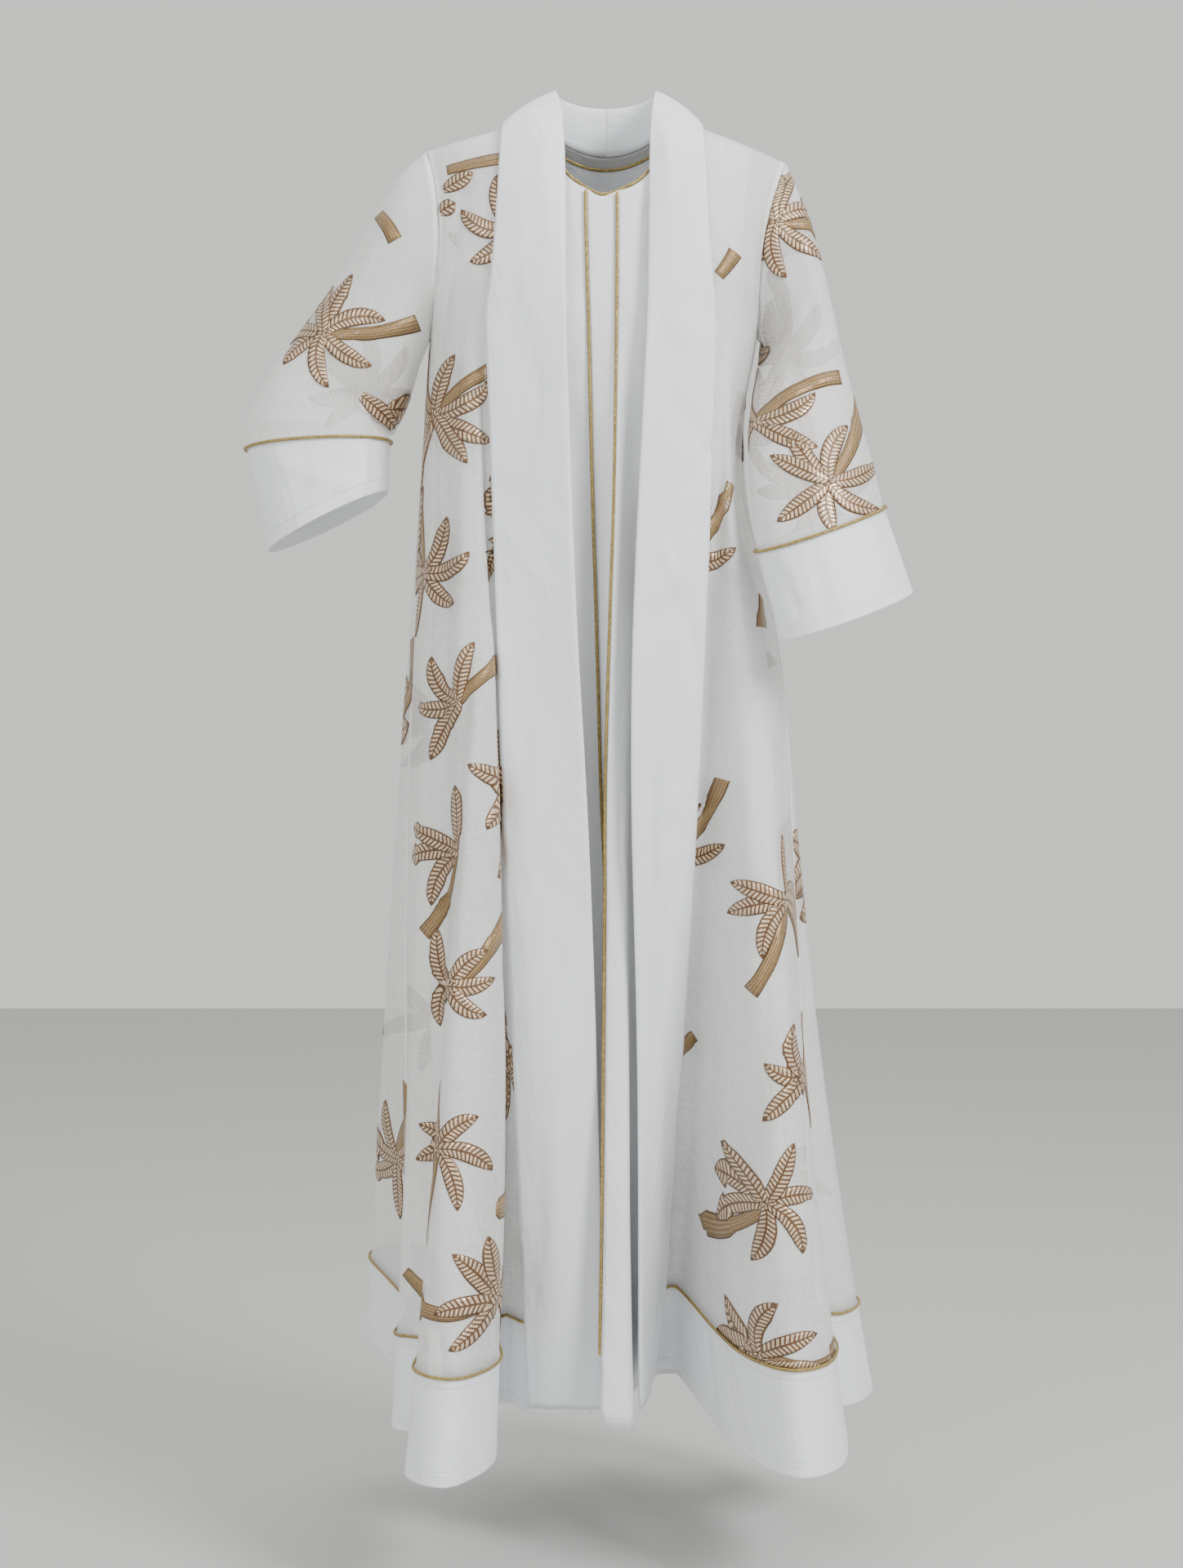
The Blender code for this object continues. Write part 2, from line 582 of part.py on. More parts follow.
def build_sleeves(grids):
    for side, sections, cuff in (("right", SLEEVE_RIGHT, CUFF_RIGHT), ("left", SLEEVE_LEFT, CUFF_LEFT)):
        front = grids["front_" + side][: len(SHOULDER_ROWS) + 1, -1 if side == "right" else 0]
        back = grids["back"][: len(SHOULDER_ROWS) + 1, 0 if side == "right" else -1]
        rings = [armhole_ring(front, back, SLEEVE_SIDES)]
        rings += [sleeve_section(row, SLEEVE_SIDES) for row in sections]
        tube = np.array(rings)
        cloth("abaya_sleeve_" + side, shortened(tube, CROSS_TRIM), ORGANZA, "organza", around=True)
        end = sleeve_section(cuff, SLEEVE_SIDES)
        band = np.array([tube[-1], (tube[-1] + end) / 2, end])
        cloth("cuff_" + side, band, CREPE, "crepe", around=True)
        out = normals(band, around=True)[0]
        middle = band[0].mean(axis=0)
        if np.dot(out[0], band[0][0] - middle) < 0:
            out = -out
        cord("piping_cuff_" + side, beside(band[0], out, closed=True), PIPING_RADIUS, closed=True)


def over_roll(roll, free, out):
    """Points across the collar's fall where it stands off the shoulder, from its roll to its free edge."""
    found = []
    for share, bulge in zip(COLLAR_ACROSS, COLLAR_BULGE):
        found.append(roll + (free - roll) * share + out * bulge)
    return found


def lifted(x, z, side, amount):
    """A point of the abaya's upper body moved out along the cloth's normal."""
    step = 0.001
    here = np.array([x, body_y(x, z, side, 0.0), z])
    across = np.array([x + step, body_y(x + step, z, side, 0.0), z]) - here
    down = np.array([x, body_y(x, z - step, side, 0.0), z - step]) - here
    out = np.cross(across, down)
    out /= np.linalg.norm(out)
    if out[1] * side < 0:
        out = -out
    return here + out * amount


def neck_rows():
    """The rows of COLLAR_NECK with one more between each two, running level across the centre back."""
    table = [row[1:] for row in COLLAR_NECK]
    seam_x, roll_x, roll_y, roll_z, free_x, free_drop = table[1]
    other_half = (-seam_x, -roll_x, roll_y, roll_z, -free_x, free_drop)
    return through([other_half, *table], (0, 2, 2, 2))


def neck_section(row, sign):
    """Across the collar behind the neck, from its seam over the roll to its free edge."""
    seam_x, roll_x, roll_y, roll_z, free_x, free_drop = row
    seam_z = neck_top(seam_x, 1, 0.0)
    seam = np.array([sign * seam_x, body_y(seam_x, seam_z, 1, 0.0), seam_z])
    roll = np.array([sign * roll_x, roll_y, roll_z])
    free_z = shoulder_z(sign * free_x, 0.0) - free_drop
    free = lifted(sign * free_x, free_z, 1, COLLAR_LAY * LAY_FREE_EDGE)
    level = np.array([free[0] - roll[0], free[1] - roll[1], 0.0])
    level /= np.linalg.norm(level)
    out = (level + np.array([0.0, 0.0, 1.0])) / math.sqrt(2)
    seam += (roll - seam) / np.linalg.norm(roll - seam) * COLLAR_SEAM_GAP
    stand = roll + (seam - roll) * STAND_SHARE - level * ROLL_HALF
    return [seam, stand, roll, *over_roll(roll, free, out), free]


def front_section(side, whole, out, i):
    """Across the collar on a front: it follows the panel, moved out, and stands up near the shoulder."""
    edge = whole[i, 0]
    rise = COLLAR_STAND[i] if i < len(COLLAR_STAND) else 0.0
    share = rise / COLLAR_STAND[0]
    roll = roll_point(side, edge[2] + rise)
    free = whole[i, COLLAR_COLUMN] + out[i, COLLAR_COLUMN] * COLLAR_LAY * (1 + LAY_RISE * share)
    to_edge = edge - roll
    seam = edge - to_edge / np.linalg.norm(to_edge) * (CROSS_TRIM + COLLAR_SEAM_GAP * share)
    back = roll + to_edge * STAND_SHARE - out[i, 0] * ROLL_HALF
    lay = [roll + to_edge * STAND_SHARE + out[i, 0] * ROLL_HALF]
    lay.append(edge + out[i, 0] * COLLAR_LAY * LAY_OVER_EDGE)
    lay += [whole[i, j] + out[i, j] * COLLAR_LAY * LAY_ON_PANEL for j in range(1, COLLAR_COLUMN)]
    standing = over_roll(roll, free, out[i, 2])
    over = []
    for j, (low, high) in enumerate(zip(lay, standing)):
        place = low * (1 - share) + high * share
        up = out[i, max(j - 1, 0)]
        if j:
            place += up * max(np.dot(low - place, up), 0.0)
        over.append(place)
    return [seam, back, roll, *over, free]


def build_collar(grids):
    for side, sign in (("right", -1), ("left", 1)):
        whole = np.concatenate([grids["front_" + side], grids["band_front_" + side][1:]])
        if side == "left":
            whole = whole[:, ::-1]
        out = normals(whole)
        if out[len(out) // 2, 0, 1] > 0:
            out = -out
        rows = [neck_section(row, sign) for row in neck_rows()]
        rows += [front_section(side, whole, out, i) for i in range(len(whole))]
        grid = np.array(rows)
        grid[0, :, 0] += sign * CROSS_TRIM
        grid[-1, :, 2] += COLLAR_ABOVE_HEM
        cloth("shawl_collar_" + side, grid, CREPE, "crepe")


def build_dress():
    """The dress: two fronts, a piped strip down the centre front, a back and the piping of the neck."""
    grids = {}
    for name, columns in panel_columns(DRESS_RIGHT_FOLDS, DRESS_BACK_FOLDS, DRESS_LEFT_FOLDS).items():
        panel, strip = skirt(dress_ring, columns, 0.0)
        count = panel.shape[1]
        if name == "back":
            top = spread(-DRESS_SHOULDER_HALF, DRESS_SHOULDER_HALF, count)
            upper = yoke(panel[0], 1, DRESS_IN, top, DRESS_ARMHOLE_IN)
        else:
            sign = -1 if name == "front_right" else 1
            start = CENTRE_FRONT[0][5 if sign < 0 else 7]
            top = spread(start, sign * DRESS_SHOULDER_HALF, count)
            if sign > 0:
                top.reverse()
            upper = yoke(panel[0], -1, DRESS_IN, top, DRESS_ARMHOLE_IN)
        grid = np.concatenate([upper, panel])
        grids[name] = grid
        lowered = grid.copy()
        lowered[0, :, 1] += SEAM_GAP if name == "back" else -SEAM_GAP
        cloth("dress_" + name, trimmed(lowered, SIDE_TRIM, SIDE_TRIM), CREPE, "dress")
    right = grids["front_right"][:, 0]
    left = grids["front_left"][:, -1]
    middle = (right + left) / 2
    for i, s in enumerate(SHOULDER_ROWS[:4]):
        middle[i, 2] -= DRESS_V_NOTCH * (1 - s / SHOULDER_ROWS[3])
    strip = np.stack([right, middle, left], axis=1)
    cloth("dress_front_centre", trimmed(strip, STRIP_TRIM / 2, STRIP_TRIM), CREPE, "dress")
    out = normals(strip)
    if out[3, 1, 1] > 0:
        out = -out
    for side, column in (("right", 0), ("left", 2)):
        line = beside(strip[:, column], out[:, column], FRONT_PIPING_LIFT)[1:-1]
        cord("piping_front_" + side, line, PIPING_RADIUS)
    grids["centre"] = strip
    return grids


def build_neck_piping(grids):
    """A cord on the edge of the dress's neck, all the way round."""
    points = []
    for name in ("centre", "front_left", "back", "front_right"):
        grid = grids[name]
        columns = [j for j in range(grid.shape[1]) if abs(grid[0, j, 0]) < DRESS_NECK_HALF]
        if name == "centre":
            columns = [1]
        elif name != "back":
            columns = columns[:-1] if name == "front_left" else columns[1:]
        line = []
        for j in columns:
            last = grid.shape[1] - 1
            along = grid[0, min(j + 1, last)] - grid[0, max(j - 1, 0)]
            along /= np.linalg.norm(along)
            up = grid[0, j] - grid[1, j]
            up -= along * np.dot(up, along)
            line.append(grid[0, j] + up / np.linalg.norm(up) * (PIPING_RADIUS + NECK_PIPING_LIFT))
        points += line if name == "centre" else line[::-1]
        if name in ("front_left", "back"):
            inner = DRESS_NECK_HALF - PIPING_RADIUS - NECK_PIPING_LIFT
            sign = 1 if name == "front_left" else -1
            neck_z = shoulder_z(sign * DRESS_NECK_HALF, DRESS_IN) - SEAM_GAP
            points.append(np.array([sign * inner, 0.0, neck_z]))
    cord("piping_neck", points, PIPING_RADIUS, closed=True)


for leftover in list(bpy.data.objects):
    bpy.data.objects.remove(leftover)

abaya = build_fronts_and_back()
build_sleeves(abaya)
build_collar(abaya)
dress = build_dress()
build_neck_piping(dress)
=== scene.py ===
import math
import bmesh
import bpy
import numpy as np
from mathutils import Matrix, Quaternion, Vector
from mathutils.bvhtree import BVHTree


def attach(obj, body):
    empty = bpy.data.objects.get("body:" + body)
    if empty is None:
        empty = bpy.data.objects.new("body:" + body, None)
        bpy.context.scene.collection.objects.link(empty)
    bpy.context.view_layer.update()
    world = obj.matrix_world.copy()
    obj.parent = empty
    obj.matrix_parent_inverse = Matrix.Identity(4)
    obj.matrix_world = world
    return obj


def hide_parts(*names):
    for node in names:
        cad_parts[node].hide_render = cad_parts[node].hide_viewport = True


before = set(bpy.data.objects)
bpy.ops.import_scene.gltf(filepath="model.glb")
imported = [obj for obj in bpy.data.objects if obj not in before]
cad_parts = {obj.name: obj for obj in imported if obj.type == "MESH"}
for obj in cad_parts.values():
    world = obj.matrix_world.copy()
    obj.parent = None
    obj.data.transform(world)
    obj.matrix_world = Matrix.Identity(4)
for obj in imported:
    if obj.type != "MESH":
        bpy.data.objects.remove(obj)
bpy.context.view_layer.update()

# The two fronts and the back of the abaya: sheer warm-white organza, cut as three flared panels that
# are joined at the shoulders and sides. They hang open at the centre front in a few deep flutes, which
# the tables give by their heads at the chest, the knee and the hem.
CHEST_Z = -0.225
KNEE_Z = -0.80
SKIRT_DEPTH = 1.13
HEM_BAND = 0.100
COLLAR_LAY = 0.0032
EDGE_FROM_ROLL = 0.0120
EDGE_COLUMNS = 2
SKIRT_ROWS = 12
BAND_ROWS = 2
SHOULDER_ROWS = (0.0, 0.035, 0.11, 0.23, 0.40, 0.60, 0.80)
COLLAR_COLUMN = 4
NECK_HALF = 0.066
SHOULDER_HALF = 0.187
SHOULDER_DROP = {"right": 0.030, "left": 0.042}
CHEST_HALF = {"right": 0.183, "left": 0.168}
ARMHOLE_FULLNESS = {"right": 0.018, "left": 0.033}
CHEST_FRONT = 0.125
CHEST_BACK = 0.112
YOKE_DEPTH = 0.090
FRONT_ROLL = 0.095
BACK_ROLL = 0.075
BACK_NECK_DROP = 0.020
BACK_ARMHOLE_IN = 0.012
FRONT_ARMHOLE_IN = 0.016
ROUNDNESS = 2.3
SHOULDER_CURVE = 1.25
ARMHOLE_CURVE = 4
YOKE_CURVE = 1.5
NECK_CURVE_BEHIND = 2.0
NECK_CURVE_IN_FRONT = 2.6
DRESS_IN = 0.013
DRESS_DOWN = 0.0022
DRESS_NECK_HALF = 0.077
DRESS_NECK_DEPTH = 0.094
DRESS_BACK_NECK = 0.030
LAPEL_AT_SHOULDER = {"right": 0.107, "left": 0.098}
ARM_PRESS = 0.20
ARM_PRESS_Z = -0.36
ARM_PRESS_REACH = 0.125
ARM_PRESS_FROM = 0.110
ARM_PRESS_FULL = 0.160
CENTRE_FRONT = (
    # z, roll right x, roll left x, right y, left y, line right x, line right y, line left x, line left y
    (0.034, -0.0530, 0.0520, 0.004, 0.004, -0.0215, -0.088, 0.0105, -0.088),
    (0.010, -0.0475, 0.0480, -0.030, -0.030, -0.0215, -0.088, 0.0105, -0.088),
    (-0.030, -0.0440, 0.0450, -0.068, -0.068, -0.0215, -0.088, 0.0105, -0.088),
    (-0.090, -0.0420, 0.0430, -0.104, -0.104, -0.0215, -0.088, 0.0105, -0.088),
    (-0.225, -0.0410, 0.0405, -0.126, -0.126, -0.0180, -0.106, 0.0100, -0.110),
    (-0.400, -0.0360, 0.0320, -0.121, -0.121, -0.0128, -0.086, 0.0088, -0.107),
    (-0.550, -0.0295, 0.0260, -0.110, -0.110, -0.0075, -0.067, 0.0045, -0.095),
    (-0.690, -0.0215, 0.0250, -0.093, -0.093, -0.0035, -0.047, 0.0010, -0.077),
    (-0.800, -0.0165, 0.0275, -0.075, -0.077, 0.0010, -0.034, 0.0005, -0.064),
    (-0.950, -0.0115, 0.0315, -0.048, -0.055, 0.0035, -0.022, -0.0005, -0.052),
    (-1.150, -0.0065, 0.0340, -0.020, -0.031, 0.0045, -0.014, -0.0025, -0.044),
    (-1.361, -0.0045, 0.0360, -0.003, -0.016, 0.0045, -0.010, -0.0062, -0.040),
)
ROLL_COLUMNS = {"right": (1, 3), "left": (2, 4)}
FRONT_RIGHT_FOLDS = (
    # turn, knee x, knee y, hem x, hem y, hem drop, columns to the next
    ("under_lapel", 28, -0.060, -0.074, -0.0445, 0.004, 1.350, 2),
    ("lapel_edge", 41, -0.100, -0.068, -0.0800, 0.014, 1.352, 2),
    ("recess", 43, -0.105, -0.052, -0.1075, 0.056, 1.352, 2),
    ("fold_root", 45, -0.111, -0.062, -0.1250, 0.010, 1.356, 2),
    ("fold_inner", 47, -0.106, -0.098, -0.1115, -0.100, 1.366, 2),
    ("fold_crown", 49, -0.118, -0.124, -0.1330, -0.172, 1.367, 2),
    ("fold_outer", 52, -0.140, -0.128, -0.1620, -0.200, 1.367, 2),
    ("fold_turn", 55, -0.157, -0.112, -0.1975, -0.160, 1.365, 2),
    ("valley", 61, -0.166, -0.074, -0.1860, -0.060, 1.356, 2),
    ("side_fold", 74, -0.194, -0.050, -0.2230, -0.008, 1.361, 2),
)
BACK_FOLDS = (
    # The same values as in FRONT_RIGHT_FOLDS
    ("side_right", 90, -0.209, 0.018, -0.2050, 0.085, 1.348, 2),
    ("flap_right", 103, -0.231, 0.095, -0.2700, 0.225, 1.322, 2),
    ("turn_right", 118, -0.192, 0.138, -0.2450, 0.300, 1.322, 2),
    ("hollow_right", 131, -0.148, 0.132, -0.1750, 0.262, 1.326, 2),
    ("wave_right", 147, -0.095, 0.172, -0.1150, 0.325, 1.334, 2),
    ("hollow_middle", 164, -0.040, 0.160, -0.0480, 0.272, 1.334, 2),
    ("wave_middle", 182, 0.012, 0.184, 0.0200, 0.332, 1.337, 2),
    ("hollow_left", 200, 0.062, 0.158, 0.0850, 0.270, 1.337, 2),
    ("wave_left", 218, 0.120, 0.166, 0.1550, 0.310, 1.342, 2),
    ("turn_left", 240, 0.172, 0.120, 0.2350, 0.235, 1.350, 2),
    ("flap_left", 256, 0.206, 0.062, 0.2930, 0.140, 1.356, 2),
    ("flap_turn", 264, 0.206, 0.030, 0.2640, 0.062, 1.356, 2),
)
FRONT_LEFT_FOLDS = (
    ("side_left", 270, 0.198, 0.008, 0.2280, 0.032, 1.353, 2),
    ("fold_turn", 287, 0.187, -0.060, 0.2440, -0.060, 1.361, 2),
    ("fold_outer", 298, 0.176, -0.100, 0.2290, -0.148, 1.362, 2),
    ("fold_crown", 306, 0.158, -0.116, 0.1900, -0.185, 1.362, 2),
    ("fold_inner", 311, 0.141, -0.108, 0.1570, -0.150, 1.362, 2),
    ("fold_slope", 314, 0.127, -0.084, 0.1300, -0.076, 1.361, 2),
    ("valley_slope", 316, 0.112, -0.056, 0.1060, 0.024, 1.352, 2),
    ("valley", 318, 0.098, -0.040, 0.0750, 0.098, 1.330, 2),
    ("lapel_edge", 320, 0.086, -0.052, 0.0520, 0.074, 1.326, 2),
    ("under_lapel", 331, 0.064, -0.068, 0.0430, 0.034, 1.344, 2),
)


def within(value):
    """The value, kept between 0 and 1."""
    return min(max(value, 0.0), 1.0)


def column_of(table, column, height):
    """A column of a table by height, through a smooth curve."""
    heights = [row[0] for row in table]
    values = [row[column] for row in table]
    height = min(max(height, heights[-1]), heights[0])
    k = 0
    while k < len(heights) - 2 and height < heights[k + 1]:
        k += 1
    span = heights[k + 1] - heights[k]
    t = (height - heights[k]) / span
    before = max(k - 1, 0)
    after = min(k + 2, len(heights) - 1)
    slope_a = (values[k + 1] - values[before]) / (heights[k + 1] - heights[before]) * span
    slope_b = (values[after] - values[k]) / (heights[after] - heights[k]) * span
    return (
        (2 * t**3 - 3 * t**2 + 1) * values[k]
        + (t**3 - 2 * t**2 + t) * slope_a
        + (3 * t**2 - 2 * t**3) * values[k + 1]
        + (t**3 - t**2) * slope_b
    )


def through(points, pieces):
    """A smooth curve through points, with pieces[k] steps from point k to the next."""
    points = np.asarray(points, float)
    ends = np.concatenate([[2 * points[0] - points[1]], points, [2 * points[-1] - points[-2]]])
    found = []
    for k, steps in enumerate(pieces):
        a, b, c, d = ends[k : k + 4]
        for i in range(steps):
            t = i / steps
            square = (2 * a - 5 * b + 4 * c - d) * t**2
            cube = (3 * b - a - 3 * c + d) * t**3
            found.append(0.5 * (2 * b + (c - a) * t + square + cube))
    found.append(points[-1])
    return np.array(found)


def shoulder_z(x, inside):
    """Height of the shoulder line, which slopes from the neck to the sleeve."""
    drop = SHOULDER_DROP["right" if x < 0 else "left"]
    out = max(abs(x) - NECK_HALF, 0.0) / (SHOULDER_HALF - NECK_HALF)
    return -drop * out**SHOULDER_CURVE - inside * (DRESS_DOWN / DRESS_IN)


def body_y(x, z, side, inside):
    """Depth of the cloth on the upper body.

    side is -1 in front and 1 behind, and inside is how far the cloth lies within the abaya.
    """
    top = shoulder_z(x, inside)
    down = within((top - z) / (top - CHEST_Z))
    full = CHEST_FRONT if side < 0 else CHEST_BACK
    depth = YOKE_DEPTH + (full - YOKE_DEPTH) * math.sin(down * math.pi / 2) - inside
    flank = "right" if x < 0 else "left"
    half = CHEST_HALF[flank] - inside + ARMHOLE_FULLNESS[flank] * (1 - down**3)
    around = max(1 - min(abs(x) / half, 1.0) ** ROUNDNESS, 0.0) ** (1 / ROUNDNESS)
    roll = FRONT_ROLL if side < 0 else BACK_ROLL
    fall = within((top - z) / roll)
    return side * depth * around * math.sqrt(1 - (1 - fall) ** 2)


def chest_point(turn, inside):
    """A point of the chest ring. turn is the angle from the front, towards the right side first."""
    angle = math.radians(turn)
    x = -(CHEST_HALF["right" if math.sin(angle) > 0 else "left"] - inside) * math.sin(angle)
    side = -1 if math.cos(angle) > 0 else 1
    return np.array([x, body_y(x, CHEST_Z, side, inside), CHEST_Z])


def pressed(x, z):
    """A place across the body after the left arm has pressed the side in."""
    side = within((x - ARM_PRESS_FROM) / (ARM_PRESS_FULL - ARM_PRESS_FROM))
    near = math.exp(-(((z - ARM_PRESS_Z) / ARM_PRESS_REACH) ** 2))
    return x - ARM_PRESS * x * near * side * side * (3 - 2 * side)


def fold_point(row, t, inside):
    """Where a fold's head stands, from the chest (t = 0) past the knee to the hem (t = 1)."""
    turn, knee_x, knee_y, hem_x, hem_y, hem_drop = row[1:7]
    chest = chest_point(turn, inside)
    knee_t = (CHEST_Z - KNEE_Z) / (CHEST_Z + hem_drop)
    knee = np.array([knee_x, knee_y])
    hem = np.array([hem_x, hem_y])
    a = (t - knee_t) * (t - 1) / knee_t
    b = t * (t - 1) / (knee_t * (knee_t - 1))
    c = t * (t - knee_t) / (1 - knee_t)
    x, y = a * chest[:2] + b * knee + c * hem
    z = CHEST_Z + (-hem_drop - CHEST_Z) * t
    return np.array([pressed(x, z), y, z])


def centre_front_point(columns, z):
    """A point at this height on the line whose x and y are two columns of CENTRE_FRONT."""
    return np.array([*(column_of(CENTRE_FRONT, column, z) for column in columns), z])


def roll_point(side, z):
    """Tip of the collar's roll on one front."""
    return centre_front_point(ROLL_COLUMNS[side], z)


def front_edge(side, under_lapel):
    """Edge of a front, which runs from under the lapel towards the collar's roll and stops short of it."""
    roll = roll_point(side, under_lapel[2])
    along = under_lapel - roll
    along /= np.linalg.norm(along)
    inward = np.array([along[1], -along[0], 0.0]) * (1 if side == "right" else -1)
    return roll + along * EDGE_FROM_ROLL + inward * COLLAR_LAY / 2


def abaya_ring(t):
    """One ring of the abaya's skirt, from the right front edge round the back to the left front edge."""
    rows = FRONT_RIGHT_FOLDS + BACK_FOLDS + FRONT_LEFT_FOLDS
    heads = [fold_point(row, t, 0.0) for row in rows]
    points = [front_edge("right", heads[0]), *heads, front_edge("left", heads[-1])]
    return through(points, [EDGE_COLUMNS] + [row[-1] for row in rows])


def neck_half(inside):
    """Half the width of the neck: the dress's, which lies inside, or the abaya's."""
    return DRESS_NECK_HALF if inside else NECK_HALF


def neck_top(x, side, inside):
    """Height of the neckline between the two neck points."""
    half = neck_half(inside)
    curve = NECK_CURVE_BEHIND if side > 0 else NECK_CURVE_IN_FRONT
    if not inside:
        depth = BACK_NECK_DROP
    elif side > 0:
        depth = DRESS_BACK_NECK
    else:
        depth = DRESS_NECK_DEPTH - DRESS_DOWN
    return shoulder_z(half, inside) - depth * (1 - (abs(x) / half) ** curve)


def yoke(chest_row, side, inside, top_x, armhole_in):
    """Rows from the shoulder down to the chest ring, for columns whose places at the chest are given.

    armhole_in is how far the armhole's edge curves in between its two ends.
    """
    rows = []
    for s in SHOULDER_ROWS:
        row = []
        for j, chest in enumerate(chest_row):
            start = top_x[j]
            hollow = armhole_in * math.sin(math.pi * s) * (abs(start) / SHOULDER_HALF) ** ARMHOLE_CURVE
            x = start + (chest[0] - start) * s**YOKE_CURVE
            x -= math.copysign(hollow, x)
            top = shoulder_z(start, inside)
            if abs(start) < neck_half(inside):
                top = neck_top(start, side, inside)
            z = top + (CHEST_Z - top) * s
            y = body_y(x, z, side, inside)
            slip = chest[1] - body_y(chest[0], CHEST_Z, side, inside)
            row.append((x, y + slip * s**2, z))
        rows.append(row)
    return np.array(rows)


def panel_columns(right_folds, back_folds, left_folds):
    """The columns of a ring that each panel takes. Neighbours share the column of their seam."""
    right = EDGE_COLUMNS + sum(row[-1] for row in right_folds)
    back = right + sum(row[-1] for row in back_folds)
    left = back + sum(row[-1] for row in left_folds)
    return {
        "front_right": slice(0, right + 1),
        "back": slice(right, back + 1),
        "front_left": slice(back, left + 1),
    }


def spread(first, last, count):
    """So many values at even steps from the first to the last."""
    return [first + (last - first) * i / (count - 1) for i in range(count)]


def skirt(ring, columns, band):
    """Rows of a panel's skirt from the chest to the band's seam, then those of the band."""
    seam = 1 - band / SKIRT_DEPTH
    panel = [ring(seam * i / SKIRT_ROWS)[columns] for i in range(SKIRT_ROWS + 1)]
    if not band:
        return np.array(panel), None
    strip = [ring(seam + (1 - seam) * i / BAND_ROWS)[columns] for i in range(BAND_ROWS + 1)]
    return np.array(panel), np.array(strip)


def finer(grid, rows, columns, around=False):
    """The grid with more rows and columns put between its own, on smooth curves."""
    down = [through(grid[:, j], [rows] * (len(grid) - 1)) for j in range(grid.shape[1])]
    grid = np.stack(down, axis=1)
    found = []
    for row in grid:
        if around:
            wide = np.concatenate([row[-2:], row, row[:2]])
            ring = through(wide, [0, 0] + [columns] * len(row) + [0])[:-1]
            found.append(ring)
        else:
            found.append(through(row, [columns] * (len(row) - 1)))
    return np.array(found)


def outward(grid, around=False):
    """Unit normals of a grid whose columns run round the wearer, away from the wearer."""
    if around:
        wide = np.concatenate([grid[:, -1:], grid, grid[:, :1]], axis=1)
        across = np.gradient(wide, axis=1)[:, 1:-1]
    else:
        across = np.gradient(grid, axis=1)
    out = np.cross(across, np.gradient(grid, axis=0))
    return out / np.maximum(np.linalg.norm(out, axis=2, keepdims=True), 1e-9)


CREASE_FADE = 3.0
CREASE_AT_ENDS = 0.35


def creased(grid, out, creases):
    """The cloth with soft creases pushed in or out along lines seen from the front.

    Each crease has the x and z of its two ends, its half width, and how far it moves the cloth along out.
    """
    moved = grid.copy()
    for x1, z1, x2, z2, width, height in creases:
        start = np.array([x1, z1])
        line = np.array([x2, z2]) - start
        length = np.linalg.norm(line)
        place = (grid[..., [0, 2]] - start) @ line / length**2
        nearest = start + np.clip(place, 0, 1)[..., None] * line
        off = np.linalg.norm(grid[..., [0, 2]] - nearest, axis=-1)
        fade = np.clip(np.minimum(place, 1 - place) * CREASE_FADE + CREASE_AT_ENDS, 0, 1)
        moved += out * (height * np.exp(-((off / width) ** 2)) * fade)[..., None]
    return moved


def fallen(grid):
    """How far each point lies below the top edge, along its column of the cloth."""
    fall = np.linalg.norm(np.diff(grid, axis=0), axis=2)
    return np.concatenate([np.zeros((1, grid.shape[1])), np.cumsum(fall, axis=0)], axis=0)


def placed(name, data):
    """A new object in the scene."""
    made = bpy.data.objects.new(name, data)
    bpy.context.scene.collection.objects.link(made)
    return made


def built(name, build):
    """A new object from a bmesh, which is freed."""
    mesh = bpy.data.meshes.new(name)
    build.to_mesh(mesh)
    build.free()
    return placed(name, mesh)


def thickened(piece, thickness):
    """The piece with a wall of this thickness, half of it on each side of the cloth."""
    wall = piece.modifiers.new("Wall", "SOLIDIFY")
    wall.thickness = thickness
    wall.offset = 0.0
    return piece


def cloth_shell(name, grid, thickness, around=False, creases=()):
    """A thin shell of cloth on a grid. Its UV map is the cut cloth in metres: along the row, then down."""
    rows, columns = grid.shape[:2]
    out = outward(grid, around)
    grid = creased(grid, out, creases)
    build = bmesh.new()
    wide = columns + 1 if around else columns
    bmesh.ops.create_grid(build, x_segments=wide - 1, y_segments=rows - 1, size=0.5)
    across = np.linalg.norm(np.diff(grid, axis=1, append=grid[:, :1]), axis=2)
    along = np.concatenate([np.zeros((rows, 1)), np.cumsum(across, axis=1)], axis=1)
    down = fallen(grid)
    uv = build.loops.layers.uv.new("UVMap")
    to_end = build.verts.layers.float.new("to_end")
    to_hem = build.verts.layers.float.new("to_hem")
    spots = {}
    for vert in build.verts:
        j = round((vert.co.x + 0.5) * (wide - 1))
        i = rows - 1 - round((vert.co.y + 0.5) * (rows - 1))
        spots[vert] = (along[i, j], down[i, j % columns])
        vert[to_end] = along[i, wide - 1] - along[i, j]
        vert[to_hem] = down[-1, j % columns] - down[i, j % columns]
        vert.co = grid[i, j % columns]
    for face in build.faces:
        face.smooth = True
        for loop in face.loops:
            loop[uv].uv = spots[loop.vert]
    build.faces.ensure_lookup_table()
    middle = build.faces[len(build.faces) // 2]
    middle.normal_update()
    apart = np.linalg.norm(grid - np.array(middle.calc_center_median()), axis=2)
    near = np.unravel_index(apart.argmin(), apart.shape)
    if middle.normal.dot(Vector(out[near])) < 0:
        bmesh.ops.reverse_faces(build, faces=build.faces)
    if around:
        bmesh.ops.remove_doubles(build, verts=build.verts, dist=1e-6)
    return thickened(built(name, build), thickness)


ORGANZA = 0.0004
ORGANZA_OPACITY = 0.40
OPACITY_SPREAD = 0.12
SEAM_OPACITY = 0.78
SEAM_WIDTH = 0.006
